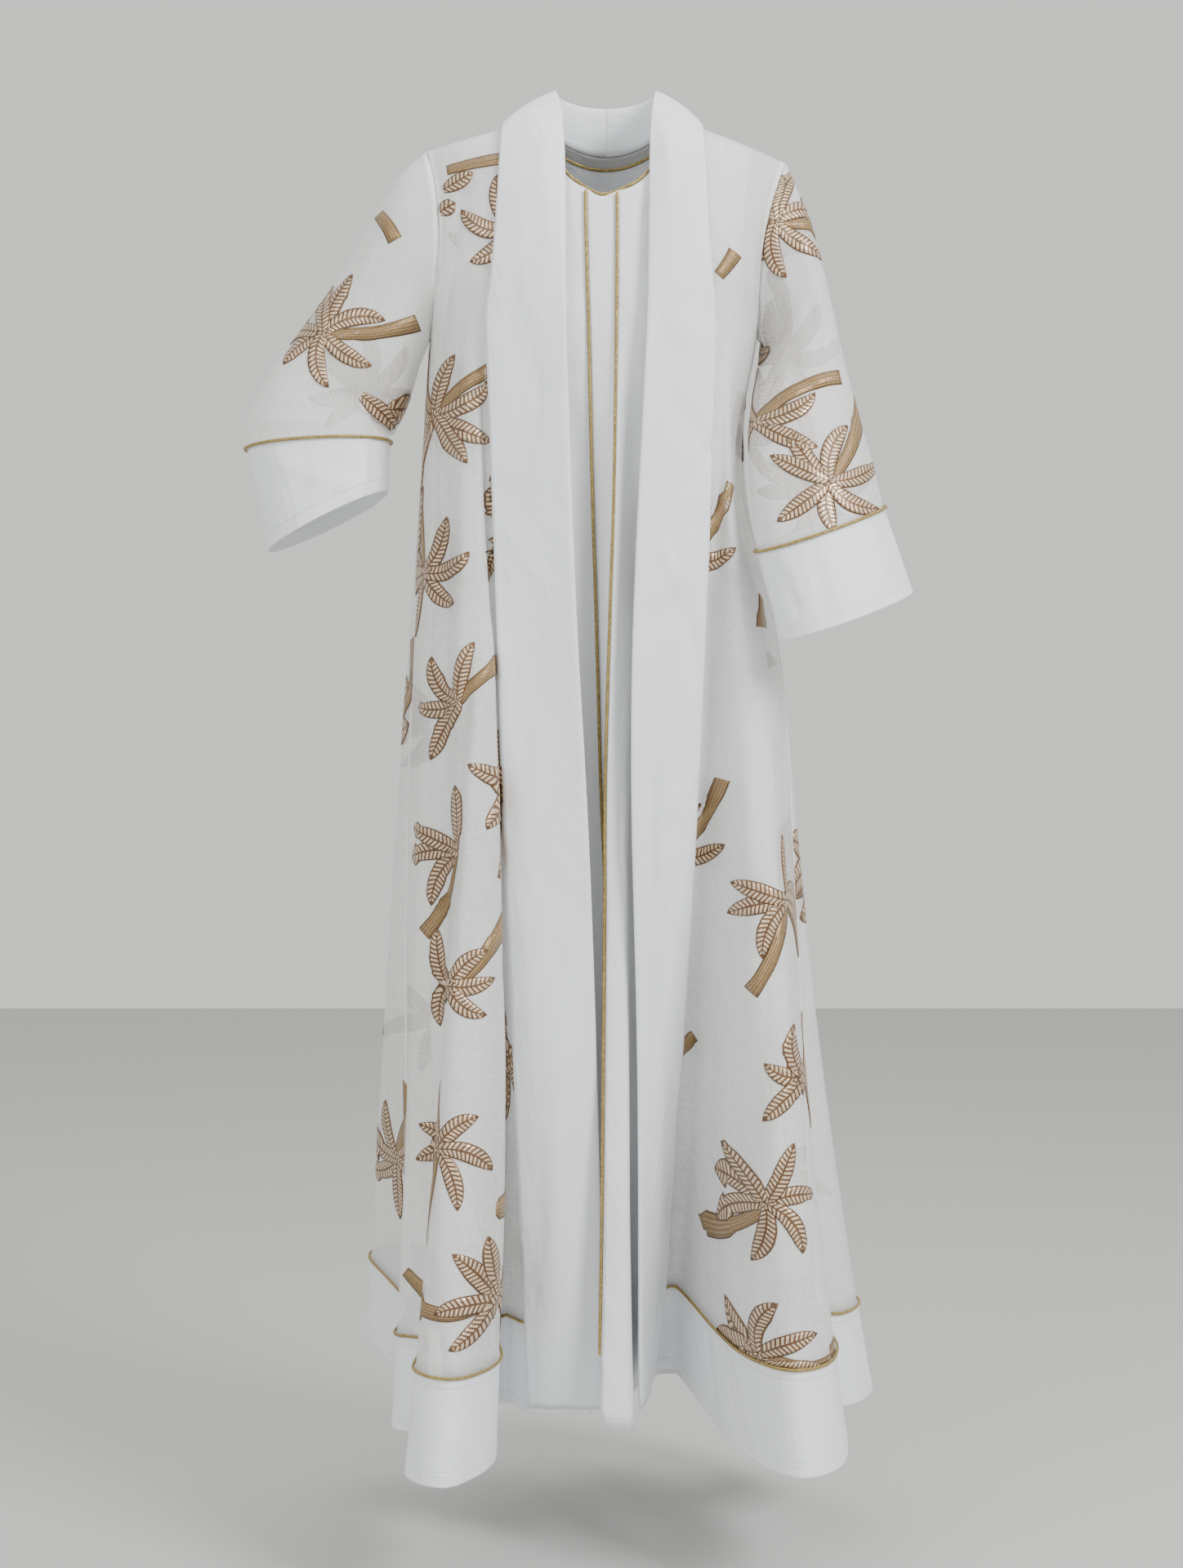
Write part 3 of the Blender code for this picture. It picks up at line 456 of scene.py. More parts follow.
# Waves a metre along and down the cut cloth, of the slubs in each thread and of the rumples with their height
SLUBS = ((26.0, 620.0, 1.0), (760.0, 22.0, 1.0))
ORGANZA_RUMPLE = ((16.0, 7.0, 1.0), 0.022)
ORGANZA_SHADE = (0.93, 0.93, 0.925, 1.0)
ORGANZA_LIGHT = (0.99, 0.99, 0.985, 1.0)
PANEL_COLUMNS = 5
PANEL_ROWS = 5
PANEL_CREASES = {
    "front_right": (
        (-0.118, -0.540, -0.147, -0.840, 0.009, 0.0048),
        (-0.147, -0.820, -0.168, -1.170, 0.009, 0.0048),
        (-0.136, -0.540, -0.165, -0.840, 0.008, -0.0048),
        (-0.165, -0.820, -0.186, -1.150, 0.008, -0.0048),
        (-0.140, -0.25, -0.150, -0.62, 0.010, 0.0036),
        (-0.118, -0.30, -0.124, -0.80, 0.008, -0.0032),
        (-0.165, -0.34, -0.170, -0.55, 0.007, -0.0026),
        (-0.128, -0.12, -0.172, -0.20, 0.010, 0.0029),
        (-0.150, -0.70, -0.165, -1.10, 0.010, -0.0029),
        (-0.108, -0.90, -0.112, -1.20, 0.009, 0.0032),
        (-0.175, -0.85, -0.192, -1.18, 0.008, 0.0026),
    ),
    "front_left": (
        (0.120, -0.28, 0.130, -0.70, 0.010, 0.0035),
        (0.098, -0.40, 0.108, -0.85, 0.008, -0.0029),
        (0.150, -0.60, 0.162, -1.00, 0.009, -0.0032),
        (0.110, -0.12, 0.150, -0.21, 0.010, 0.0029),
        (0.170, -0.80, 0.195, -1.20, 0.010, 0.0032),
        (0.118, -0.95, 0.126, -1.24, 0.008, 0.0026),
        (0.184, -0.62, 0.186, -1.10, 0.004, -0.0017),
    ),
    "back": (
        (-0.120, -0.20, -0.135, -0.66, 0.012, 0.0038),
        (-0.060, -0.26, -0.070, -0.60, 0.010, -0.0032),
        (0.020, -0.22, 0.015, -0.70, 0.012, 0.0035),
        (0.090, -0.24, 0.100, -0.62, 0.010, -0.0035),
        (0.140, -0.30, 0.155, -0.74, 0.009, 0.0032),
        (-0.100, -0.10, -0.150, -0.19, 0.011, 0.0029),
        (0.095, -0.10, 0.140, -0.20, 0.011, 0.0029),
        (-0.170, -0.80, -0.190, -1.15, 0.010, -0.0029),
        (0.060, -0.86, 0.066, -1.20, 0.011, 0.0035),
        (0.190, -0.80, 0.215, -1.18, 0.010, -0.0026),
    ),
}


def fill(tree, made, inputs):
    """Sets inputs of a shader node, each to a number, a colour or another node's socket."""
    for key, value in inputs.items():
        if isinstance(value, bpy.types.NodeSocket):
            tree.links.new(value, made.inputs[key])
        else:
            made.inputs[key].default_value = value


def add_node(tree, kind, inputs, **settings):
    """A new shader node with its settings, then its inputs."""
    made = tree.nodes.new("ShaderNode" + kind)
    for name, value in settings.items():
        setattr(made, name, value)
    fill(tree, made, inputs)
    return made


def math_node(tree, operation, *values):
    """The outcome of one arithmetic node, each value a socket or a number."""
    return add_node(tree, "Math", dict(enumerate(values)), operation=operation).outputs[0]


def tinted(tree, factor, first, second):
    """A colour between two others."""
    inputs = {"Factor": factor, "A": first, "B": second}
    return add_node(tree, "Mix", inputs, data_type="RGBA").outputs["Result"]


def ranged(tree, value, low, high, to_low, to_high):
    """A value taken from one range to another."""
    ends = {"From Min": low, "From Max": high, "To Min": to_low, "To Max": to_high}
    return add_node(tree, "MapRange", {"Value": value, **ends}).outputs["Result"]


def bumped(tree, strength, distance, height, **more):
    """A normal for a surface with this height on it."""
    inputs = {"Strength": strength, "Distance": distance, "Height": height, **more}
    return add_node(tree, "Bump", inputs).outputs["Normal"]


def cut_place(tree):
    """A place on a cloth or a stitched shape, from its UV map."""
    return add_node(tree, "UVMap", {}, uv_map="UVMap").outputs["UV"]


def cut_parts(tree):
    """The same place as two numbers, X and Y."""
    return add_node(tree, "SeparateXYZ", {0: cut_place(tree)}).outputs


def cut_noise(tree, waves, detail, roughness, distortion=0.0):
    """Noise with so many waves a metre along and down the cut cloth."""
    stretched = add_node(tree, "VectorMath", {0: cut_place(tree), 1: waves}, operation="MULTIPLY")
    inputs = {"Vector": stretched.outputs[0], "Scale": 1.0, "Detail": detail}
    inputs |= {"Roughness": roughness, "Distortion": distortion}
    return add_node(tree, "TexNoise", inputs).outputs["Fac"]


def effect(name, given, found):
    """A new node group that takes some numbers and finds others, with the nodes at its two ends."""
    group = bpy.data.node_groups.new(name, "ShaderNodeTree")
    for label in given:
        group.interface.new_socket(label, in_out="INPUT", socket_type="NodeSocketFloat")
    for label in found:
        group.interface.new_socket(label, in_out="OUTPUT", socket_type="NodeSocketFloat")
    return group, group.nodes.new("NodeGroupInput"), group.nodes.new("NodeGroupOutput")


def shared(tree, name, make, inputs):
    """The outputs of a node group that several materials share. It is made when it is first needed."""
    return add_node(tree, "Group", inputs, node_tree=bpy.data.node_groups.get(name) or make()).outputs


def new_material(name):
    """A new material, with its node tree and its shader."""
    made = bpy.data.materials.new(name)
    made.use_nodes = True
    return made, made.node_tree, made.node_tree.nodes["Principled BSDF"]


def thread_slubs():
    """A node group for woven thread: fine slubs along both threads of the cloth."""
    group, _, leave = effect("Thread slubs", (), ("Slubs",))
    along, down = (cut_noise(group, waves, 3.0, 0.6) for waves in SLUBS)
    both = math_node(group, "ADD", along, down)
    fill(group, leave, {"Slubs": math_node(group, "MULTIPLY", both, 0.5)})
    return group


def from_edge(tree, edge):
    """How far a place on the cloth lies from one of its edges: start, end, top or hem."""
    if edge in ("start", "top"):
        return cut_parts(tree)["X" if edge == "start" else "Y"]
    return add_node(tree, "Attribute", {}, attribute_name="to_" + edge).outputs["Fac"]


def near_edge(tree, width, edges):
    """A mask that is 1 within width of the piece's named edges, where the cloth lies double in its seam."""
    found, *others = (math_node(tree, "LESS_THAN", from_edge(tree, edge), width) for edge in edges)
    for mask in others:
        found = math_node(tree, "MAXIMUM", found, mask)
    return found


def rumple(tree, waves, height):
    """A normal for cloth that is softly rumpled, with so many waves a metre along and down the cut cloth."""
    return bumped(tree, 0.5, height, cut_noise(tree, waves, 4.0, 0.5, distortion=0.7))


def organza(name, edges=("start", "end"), opacity=ORGANZA_OPACITY):
    """Sheer crisp organza: pale threads with gaps between them, and denser where the seams double it."""
    made, tree, shader = new_material(name)
    slubs = shared(tree, "Thread slubs", thread_slubs, {})["Slubs"]
    thick = ranged(tree, slubs, 0.32, 0.68, opacity - OPACITY_SPREAD, opacity + OPACITY_SPREAD)
    seam = {"Factor": near_edge(tree, SEAM_WIDTH, edges), "A": thick, "B": SEAM_OPACITY}
    fill(tree, shader, {
        "Base Color": tinted(tree, slubs, ORGANZA_SHADE, ORGANZA_LIGHT),
        "Roughness": 0.42,
        "Specular IOR Level": 0.35,
        "Sheen Weight": 0.25,
        "Sheen Roughness": 0.35,
        "Alpha": add_node(tree, "Mix", seam).outputs["Result"],
        "Normal": bumped(tree, 0.25, 0.0006, slubs, Normal=rumple(tree, *ORGANZA_RUMPLE)),
    })
    return made


panel_grids = {}
strip_grids = {}
for name, columns in panel_columns(FRONT_RIGHT_FOLDS, BACK_FOLDS, FRONT_LEFT_FOLDS).items():
    panel, strip = skirt(abaya_ring, columns, HEM_BAND)
    count = panel.shape[1]
    if name == "back":
        upper = yoke(panel[0], 1, 0.0, spread(-SHOULDER_HALF, SHOULDER_HALF, count), BACK_ARMHOLE_IN)
    else:
        side, sign = ("right", -1) if name == "front_right" else ("left", 1)
        lapel = sign * LAPEL_AT_SHOULDER[side]
        top = spread(sign * NECK_HALF, lapel, COLLAR_COLUMN + 1)
        top += spread(lapel, sign * SHOULDER_HALF, count - COLLAR_COLUMN)[1:]
        if sign > 0:
            top.reverse()
        upper = yoke(panel[0], -1, 0.0, top, FRONT_ARMHOLE_IN)
    panel_grids[name] = np.concatenate([upper, panel])
    strip_grids[name] = strip

# Each panel: a thin organza shell on a finer grid, with its creases, in place of its plainer solid
panels = {}
for name, grid in panel_grids.items():
    fine = finer(grid, PANEL_ROWS, PANEL_COLUMNS)
    piece = cloth_shell("organza_" + name, fine, ORGANZA, creases=PANEL_CREASES[name])
    piece.data.materials.append(organza("Organza " + name))
    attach(piece, "root")
    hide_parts(*(("abaya_back", "abaya_yoke") if name == "back" else ("abaya_" + name,)))
    panels[name] = piece

# The hem bands: solid white satin-backed crepe, cut as curved strips 10 cm deep that follow the fronts'
# and the back's flare. They are turned up double, sewn to the organza and topstitched below the seam.
CREPE = 0.0014
BAND_TOPSTITCH = 0.010
BAND_HEM_STITCH = 0.014
RIDGE_WIDTH = 0.0016
RIDGE_HEIGHT = 0.0005
RIDGE_FROM_STITCH = 0.003
BAND_FINE_ROWS = 36
STITCH = 0.0026
STITCH_SHARE = 0.72
STITCH_WIDTH = 0.00045
STITCH_THREAD = (0.60, 0.62, 0.65, 1.0)
CREPE_GRAINS = 1500.0
CREPE_STREAKS = (16.0, 3.0, 1.0)
CREPE_RUMPLE = ((11.0, 4.0, 1.0), 0.018)
CREPE_LIGHT = (0.86, 0.885, 0.92, 1.0)
CREPE_SHADE = (0.80, 0.825, 0.86, 1.0)


def crepe_grain():
    """A node group for crepe: a fine pebbled grain over long soft streaks."""
    group, enter, leave = effect("Crepe grain", ("Grains per metre",), ("Grain", "Streaks"))
    inputs = {"Vector": cut_place(group), "Scale": enter.outputs["Grains per metre"], "Detail": 2.0}
    grain = add_node(group, "TexNoise", inputs).outputs["Fac"]
    fill(group, leave, {"Grain": grain, "Streaks": cut_noise(group, CREPE_STREAKS, 4.0, 0.5)})
    return group


def stitch_line(tree, edge, distance):
    """A mask for one row of machine stitches at a distance from an edge of the cloth."""
    row = math_node(tree, "COMPARE", from_edge(tree, edge), distance, STITCH_WIDTH)
    step = math_node(tree, "MODULO", cut_parts(tree)["X"], STITCH)
    return math_node(tree, "MULTIPLY", row, math_node(tree, "LESS_THAN", step, STITCH * STITCH_SHARE))


def crepe(name, light=CREPE_LIGHT, shade=CREPE_SHADE, roughness=0.46, stitches=()):
    """White crepe: its grain, its low satin sheen and its rows of stitches, named by edge and distance."""
    made, tree, shader = new_material(name)
    grain = shared(tree, "Crepe grain", crepe_grain, {"Grains per metre": CREPE_GRAINS})
    colour = tinted(tree, grain["Streaks"], shade, light)
    height = grain["Grain"]
    for edge, distance in stitches:
        row = stitch_line(tree, edge, distance)
        colour = tinted(tree, row, colour, STITCH_THREAD)
        height = math_node(tree, "SUBTRACT", height, row)
    fill(tree, shader, {
        "Base Color": colour,
        "Roughness": ranged(tree, grain["Streaks"], 0.3, 0.7, roughness - 0.06, roughness + 0.08),
        "Specular IOR Level": 0.4,
        "Sheen Weight": 0.2,
        "Sheen Roughness": 0.4,
        "Normal": bumped(tree, 0.22, 0.0004, height, Normal=rumple(tree, *CREPE_RUMPLE)),
    })
    return made


def ridged(grid, out, distances):
    """The cloth with a soft ridge along its rows where a line of topstitching holds the turned edge.

    A distance is measured from the top edge, or from the lower edge if it is below 0.
    """
    down = fallen(grid)
    for distance in distances:
        place = distance if distance > 0 else down[-1] + distance
        grid = grid + out * (RIDGE_HEIGHT * np.exp(-(((down - place) / RIDGE_WIDTH) ** 2)))[..., None]
    return grid


band_cloth = crepe("Hem crepe", stitches=(("top", BAND_TOPSTITCH), ("hem", BAND_HEM_STITCH)))
# Each hem band: a crepe shell on a finer grid, with soft ridges along its two rows of topstitching
for name, grid in strip_grids.items():
    fine = finer(grid, BAND_FINE_ROWS, PANEL_COLUMNS)
    ridges = (BAND_TOPSTITCH - RIDGE_FROM_STITCH, RIDGE_FROM_STITCH - BAND_HEM_STITCH)
    fine = ridged(fine, outward(fine), ridges)
    piece = cloth_shell("crepe_hem_" + name, fine, CREPE)
    piece.data.materials.append(band_cloth)
    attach(piece, "root")
    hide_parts("hem_band_" + name)

# The sleeves: organza tubes that flare to the cuff, each from one piece with its seam under the arm.
# The right arm is raised, so that sleeve stands away from the body, and the left one hangs forward.
SLEEVE_SIDES = 20
SLEEVE_FINE_ROWS = 7
SLEEVE_FINE_SIDES = 5
CUFF_FINE_ROWS = 30
CUFF_TOPSTITCH = 0.0035
CUFF_HEM_STITCH = 0.014
CUFF_RIDGE = 0.012
ARMHOLE_GAP = 0.0003
SLEEVE_OPACITY = 0.36
SLEEVE_RIGHT = (
    # Outer x, y, z, under x, y, z, half depth. The left sleeve's rows and the cuffs' ends have the same
    (-0.2150, 0.002, -0.056, -0.1870, 0.002, -0.232, 0.066),
    (-0.2480, 0.006, -0.107, -0.1960, 0.006, -0.253, 0.065),
    (-0.2840, 0.010, -0.165, -0.2060, 0.010, -0.286, 0.064),
    (-0.3240, 0.012, -0.220, -0.2230, 0.012, -0.322, 0.063),
    (-0.3560, 0.008, -0.266, -0.2300, 0.008, -0.318, 0.062),
    (-0.3730, 0.002, -0.306, -0.2290, 0.002, -0.322, 0.060),
    (-0.3740, -0.004, -0.342, -0.2265, -0.004, -0.334, 0.058),
)
CUFF_RIGHT = (-0.3500, -0.012, -0.449, -0.2280, -0.012, -0.3870, 0.056)
SLEEVE_LEFT = (
    (0.2010, -0.002, -0.085, 0.1690, -0.008, -0.236, 0.060),
    (0.2160, -0.006, -0.140, 0.1660, -0.020, -0.250, 0.056),
    (0.2280, -0.012, -0.196, 0.1620, -0.036, -0.268, 0.052),
    (0.2379, -0.020, -0.250, 0.1560, -0.060, -0.298, 0.049),
    (0.2497, -0.030, -0.301, 0.1500, -0.088, -0.343, 0.047),
    (0.2628, -0.045, -0.352, 0.1495, -0.113, -0.400, 0.046),
    (0.2757, -0.060, -0.409, 0.1540, -0.128, -0.460, 0.047),
)
CUFF_LEFT = (0.3039, -0.075, -0.496, 0.1760, -0.138, -0.549, 0.048)


def sleeve_section(row):
    """One ring of a sleeve: top first, then round its front, its under side and its back."""
    outer = np.array(row[0:3])
    under = np.array(row[3:6])
    depth = row[6]
    middle = (outer + under) / 2
    half = (outer - under) / 2
    front = np.array([half[1], -half[0], 0.0])
    front *= -math.copysign(depth, front[1]) / np.linalg.norm(front)
    angles = [2 * math.pi * i / SLEEVE_SIDES for i in range(SLEEVE_SIDES)]
    return np.array([middle + half * math.cos(angle) + front * math.sin(angle) for angle in angles])


def armhole_ring(front, back):
    """The armhole's edge as a ring of points, read from the outer columns of the front and the back."""
    ring = []
    for i in range(SLEEVE_SIDES):
        angle = 2 * math.pi * i / SLEEVE_SIDES
        s = (1 - math.cos(angle)) / 2
        edge = front if angle <= math.pi else back
        place = np.interp(s, (*SHOULDER_ROWS, 1.0), range(len(edge)))
        k = min(int(place), len(edge) - 2)
        ring.append(edge[k] + (edge[k + 1] - edge[k]) * (place - k))
    ring = np.array(ring)
    ring[:, 0] += math.copysign(ARMHOLE_GAP, ring[:, 0].mean())
    return ring


SLEEVE_CREASES = {
    "right": (
        (-0.200, -0.090, -0.300, -0.230, 0.010, -0.0030),
        (-0.196, -0.160, -0.262, -0.262, 0.009, 0.0028),
        (-0.240, -0.225, -0.352, -0.262, 0.008, -0.0034),
        (-0.222, -0.300, -0.330, -0.282, 0.008, 0.0030),
        (-0.230, -0.325, -0.372, -0.318, 0.006, -0.0022),
        (-0.250, -0.130, -0.330, -0.240, 0.009, 0.0020),
    ),
    "left": (
        (0.186, -0.120, 0.236, -0.330, 0.009, -0.0028),
        (0.165, -0.200, 0.205, -0.400, 0.009, 0.0026),
        (0.176, -0.260, 0.250, -0.330, 0.008, -0.0026),
        (0.160, -0.360, 0.240, -0.400, 0.008, 0.0024),
        (0.210, -0.240, 0.262, -0.390, 0.007, 0.0018),
    ),
}
CUFF_CREASES = {
    "right": (
        (-0.345, -0.360, -0.250, -0.395, 0.010, -0.0020),
        (-0.246, -0.330, -0.250, -0.400, 0.005, -0.0022),
        (-0.300, -0.350, -0.330, -0.440, 0.012, 0.0016),
    ),
    "left": (
        (0.200, -0.450, 0.215, -0.530, 0.010, -0.0018),
        (0.255, -0.430, 0.275, -0.500, 0.012, 0.0016),
        (0.166, -0.470, 0.190, -0.530, 0.006, -0.0016),
    ),
}

cuff_cloth = crepe("Cuff crepe", stitches=(("top", CUFF_TOPSTITCH), ("hem", CUFF_HEM_STITCH)))
sleeves = {}
cuff_seams = {}
for side, sections, cuff in (("right", SLEEVE_RIGHT, CUFF_RIGHT), ("left", SLEEVE_LEFT, CUFF_LEFT)):
    front = panel_grids["front_" + side][: len(SHOULDER_ROWS) + 1, -1 if side == "right" else 0]
    back = panel_grids["back"][: len(SHOULDER_ROWS) + 1, 0 if side == "right" else -1]
    rings = [armhole_ring(front, back)] + [sleeve_section(row) for row in sections]
    tube = finer(np.array(rings), SLEEVE_FINE_ROWS, SLEEVE_FINE_SIDES, around=True)
    piece = cloth_shell("organza_sleeve_" + side, tube, ORGANZA, around=True, creases=SLEEVE_CREASES[side])
    piece.data.materials.append(organza("Organza sleeve " + side, edges=("top",), opacity=SLEEVE_OPACITY))
    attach(piece, "root")
    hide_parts("abaya_sleeve_" + side)
    sleeves[side] = piece
    end = sleeve_section(cuff)
    rings = np.array([rings[-1], (rings[-1] + end) / 2, end])
    band = finer(rings, CUFF_FINE_ROWS, SLEEVE_FINE_SIDES, around=True)
    out = outward(band, around=True)[0]
    if np.dot(out[0], band[0][0] - band[0].mean(axis=0)) < 0:
        out = -out
    cuff_seams[side] = (band[0], out)
    band = ridged(band, outward(band, around=True), (-CUFF_RIDGE,))
    piece = cloth_shell("crepe_cuff_" + side, band, CREPE, around=True, creases=CUFF_CREASES[side])
    piece.data.materials.append(cuff_cloth)
    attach(piece, "root")
    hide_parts("cuff_" + side)

# The shawl collar: one wide band of crepe each side, joined behind the neck, sewn to the open edges and
# folded over along its roll. It stands off the neck, lies flat on the fronts and ends above the hem.
CROSS_TRIM = 0.0006
COLLAR_ABOVE_HEM = 0.007
COLLAR_NECK = (
    # Seam x, roll x, y and z, free edge x, and how far that edge lies below the shoulder line
    ("centre_back", 0.0000, 0.0000, 0.0570, 0.0300, 0.0000, 0.0540),
    ("back_quarter", 0.0330, 0.0290, 0.0500, 0.0315, 0.0560, 0.0450),
    ("behind_shoulder", 0.0560, 0.0480, 0.0330, 0.0340, 0.0900, 0.0200),
    ("over_shoulder", 0.0630, 0.0520, 0.0190, 0.0345, 0.1000, 0.0060),
)
COLLAR_STAND = (0.034, 0.031, 0.024, 0.013, 0.004)
COLLAR_ACROSS = (0.05, 0.14, 0.36, 0.58, 0.79)
COLLAR_BULGE = (0.0010, 0.0025, 0.0045, 0.0050, 0.0035)
COLLAR_SEAM_GAP = 0.0012
STAND_SHARE = 0.25
ROLL_HALF = 0.0021
LAY_OVER_EDGE = 1.15
LAY_ON_PANEL = 1.10
LAY_FREE_EDGE = 1.40
LAY_RISE = 0.30
COLLAR_FINE_ROWS = 6
COLLAR_FINE_COLUMNS = 5


def over_roll(roll, free, out):
    """Points across the collar's fall where it stands off the shoulder, from its roll to its free edge."""
    found = []
    for share, bulge in zip(COLLAR_ACROSS, COLLAR_BULGE):
        found.append(roll + (free - roll) * share + out * bulge)
    return found


def lifted(x, z, side, amount):
    """A point of the abaya's upper body moved out along the cloth's normal."""
    step = 0.001
    here = np.array([x, body_y(x, z, side, 0.0), z])
    across = np.array([x + step, body_y(x + step, z, side, 0.0), z]) - here
    down = np.array([x, body_y(x, z - step, side, 0.0), z - step]) - here
    out = np.cross(across, down)
    out /= np.linalg.norm(out)
    if out[1] * side < 0:
        out = -out
    return here + out * amount


def neck_rows():
    """The rows of COLLAR_NECK with one more between each two, running level across the centre back."""
    table = [row[1:] for row in COLLAR_NECK]
    seam_x, roll_x, roll_y, roll_z, free_x, free_drop = table[1]
    other_half = (-seam_x, -roll_x, roll_y, roll_z, -free_x, free_drop)
    return through([other_half, *table], (0, 2, 2, 2))


def neck_section(row, sign):
    """Across the collar behind the neck, from its seam over the roll to its free edge."""
    seam_x, roll_x, roll_y, roll_z, free_x, free_drop = row
    seam_z = neck_top(seam_x, 1, 0.0)
    seam = np.array([sign * seam_x, body_y(seam_x, seam_z, 1, 0.0), seam_z])
    roll = np.array([sign * roll_x, roll_y, roll_z])
    free_z = shoulder_z(sign * free_x, 0.0) - free_drop
    free = lifted(sign * free_x, free_z, 1, COLLAR_LAY * LAY_FREE_EDGE)
    level = np.array([free[0] - roll[0], free[1] - roll[1], 0.0])
    level /= np.linalg.norm(level)
    out = (level + np.array([0.0, 0.0, 1.0])) / math.sqrt(2)
    seam += (roll - seam) / np.linalg.norm(roll - seam) * COLLAR_SEAM_GAP
    stand = roll + (seam - roll) * STAND_SHARE - level * ROLL_HALF
    return [seam, stand, roll, *over_roll(roll, free, out), free]


def front_section(side, whole, out, i):
    """Across the collar on a front: it follows the panel, moved out, and stands up near the shoulder."""
    edge = whole[i, 0]
    rise = COLLAR_STAND[i] if i < len(COLLAR_STAND) else 0.0
    share = rise / COLLAR_STAND[0]
    roll = roll_point(side, edge[2] + rise)
    free = whole[i, COLLAR_COLUMN] + out[i, COLLAR_COLUMN] * COLLAR_LAY * (1 + LAY_RISE * share)
    to_edge = edge - roll
    seam = edge - to_edge / np.linalg.norm(to_edge) * (CROSS_TRIM + COLLAR_SEAM_GAP * share)
    back = roll + to_edge * STAND_SHARE - out[i, 0] * ROLL_HALF
    lay = [roll + to_edge * STAND_SHARE + out[i, 0] * ROLL_HALF]
    lay.append(edge + out[i, 0] * COLLAR_LAY * LAY_OVER_EDGE)
    lay += [whole[i, j] + out[i, j] * COLLAR_LAY * LAY_ON_PANEL for j in range(1, COLLAR_COLUMN)]
    standing = over_roll(roll, free, out[i, 2])
    over = []
    for j, (low, high) in enumerate(zip(lay, standing)):
        place = low * (1 - share) + high * share
        up = out[i, max(j - 1, 0)]
        if j:
            place += up * max(np.dot(low - place, up), 0.0)
        over.append(place)
    return [seam, back, roll, *over, free]


COLLAR_CREASES = {
    "right": (
        (-0.100, -0.180, -0.062, -0.330, 0.016, -0.0022),
        (-0.052, -0.300, -0.074, -0.420, 0.014, 0.0018),
        (-0.060, -0.620, -0.085, -0.740, 0.014, 0.0020),
        (-0.096, -0.520, -0.080, -0.700, 0.010, -0.0014),
        (-0.050, -0.900, -0.056, -1.220, 0.012, 0.0020),
        (-0.068, -1.060, -0.072, -1.270, 0.010, -0.0018),
    ),
    "left": (
        (0.062, -0.312, 0.114, -0.362, 0.005, -0.0046),
        (0.060, -0.230, 0.104, -0.250, 0.012, 0.0024),
        (0.078, -0.500, 0.088, -0.568, 0.005, -0.0040),
        (0.078, -0.500, 0.040, -0.536, 0.005, -0.0036),
        (0.074, -0.510, 0.080, -0.440, 0.007, 0.0032),
        (0.050, -0.440, 0.072, -0.500, 0.006, 0.0026),
        (0.064, -0.675, 0.086, -0.672, 0.004, -0.0022),
        (0.062, -0.705, 0.084, -0.710, 0.004, 0.0020),
        (0.060, -0.745, 0.082, -0.742, 0.004, -0.0022),
        (0.048, -0.675, 0.046, -0.810, 0.005, -0.0034),
        (0.052, -0.825, 0.082, -0.862, 0.005, -0.0034),
        (0.060, -0.930, 0.072, -1.060, 0.008, -0.0028),
        (0.052, -1.060, 0.060, -1.240, 0.008, 0.0026),
    ),
}

collar_cloth = crepe("Collar crepe")
for side, sign in (("right", -1), ("left", 1)):
    whole = np.concatenate([panel_grids["front_" + side], strip_grids["front_" + side][1:]])
    if side == "left":
        whole = whole[:, ::-1]
    out = outward(whole)
    if out[len(out) // 2, 0, 1] > 0:
        out = -out
    rows = [neck_section(row, sign) for row in neck_rows()]
    rows += [front_section(side, whole, out, i) for i in range(len(whole))]
    grid = np.array(rows)
    grid[-1, :, 2] += COLLAR_ABOVE_HEM
    fine = finer(grid, COLLAR_FINE_ROWS, COLLAR_FINE_COLUMNS)
    if sign > 0:
        fine = fine[:, ::-1]
    piece = cloth_shell("crepe_collar_" + side, fine, CREPE, creases=COLLAR_CREASES[side])
    piece.data.materials.append(collar_cloth)
    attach(piece, "root")
    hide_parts("shawl_collar_" + side)

# The dress: plain white crepe without sleeves, a back and two fronts joined to a narrow strip between
# two piped lines down the centre front. It hangs from the shoulders inside the abaya.
DRESS_CREPE = 0.0010
DRESS_SHOULDER_HALF = 0.150
LINE_COLUMNS = {"right": (5, 6), "left": (7, 8)}
DRESS_V_NOTCH = 0.007
DRESS_V_ROWS = 3
DRESS_LINE_DROP = 1.353
DRESS_ARMHOLE_IN = 0.020
DRESS_HEM_STITCH = 0.012
DRESS_FINE_ROWS = 5
DRESS_FINE_COLUMNS = 4
DRESS_RIGHT_FOLDS = (
    # turn, knee x, knee y, hem x, hem y, hem drop, columns to the next
    ("strip_turn", 16, -0.012, -0.026, -0.0120, 0.022, 1.345, 2),
    ("behind_lapel", 30, -0.055, -0.046, -0.0550, 0.046, 1.342, 2),
    ("hollow", 46, -0.104, -0.030, -0.1080, 0.092, 1.338, 2),
    ("front_round", 64, -0.150, -0.032, -0.1520, 0.058, 1.338, 3),
)
DRESS_BACK_FOLDS = (
    ("side_right", 90, -0.186, 0.022, -0.1760, 0.100, 1.335, 3),
    ("round_right", 118, -0.160, 0.094, -0.1720, 0.190, 1.332, 3),
    ("hollow_right", 148, -0.080, 0.118, -0.0950, 0.212, 1.332, 3),
    ("middle", 180, 0.000, 0.136, 0.0000, 0.238, 1.334, 3),
    ("hollow_left", 212, 0.080, 0.118, 0.1000, 0.212, 1.336, 3),
    ("round_left", 242, 0.152, 0.080, 0.1850, 0.172, 1.338, 3),
)
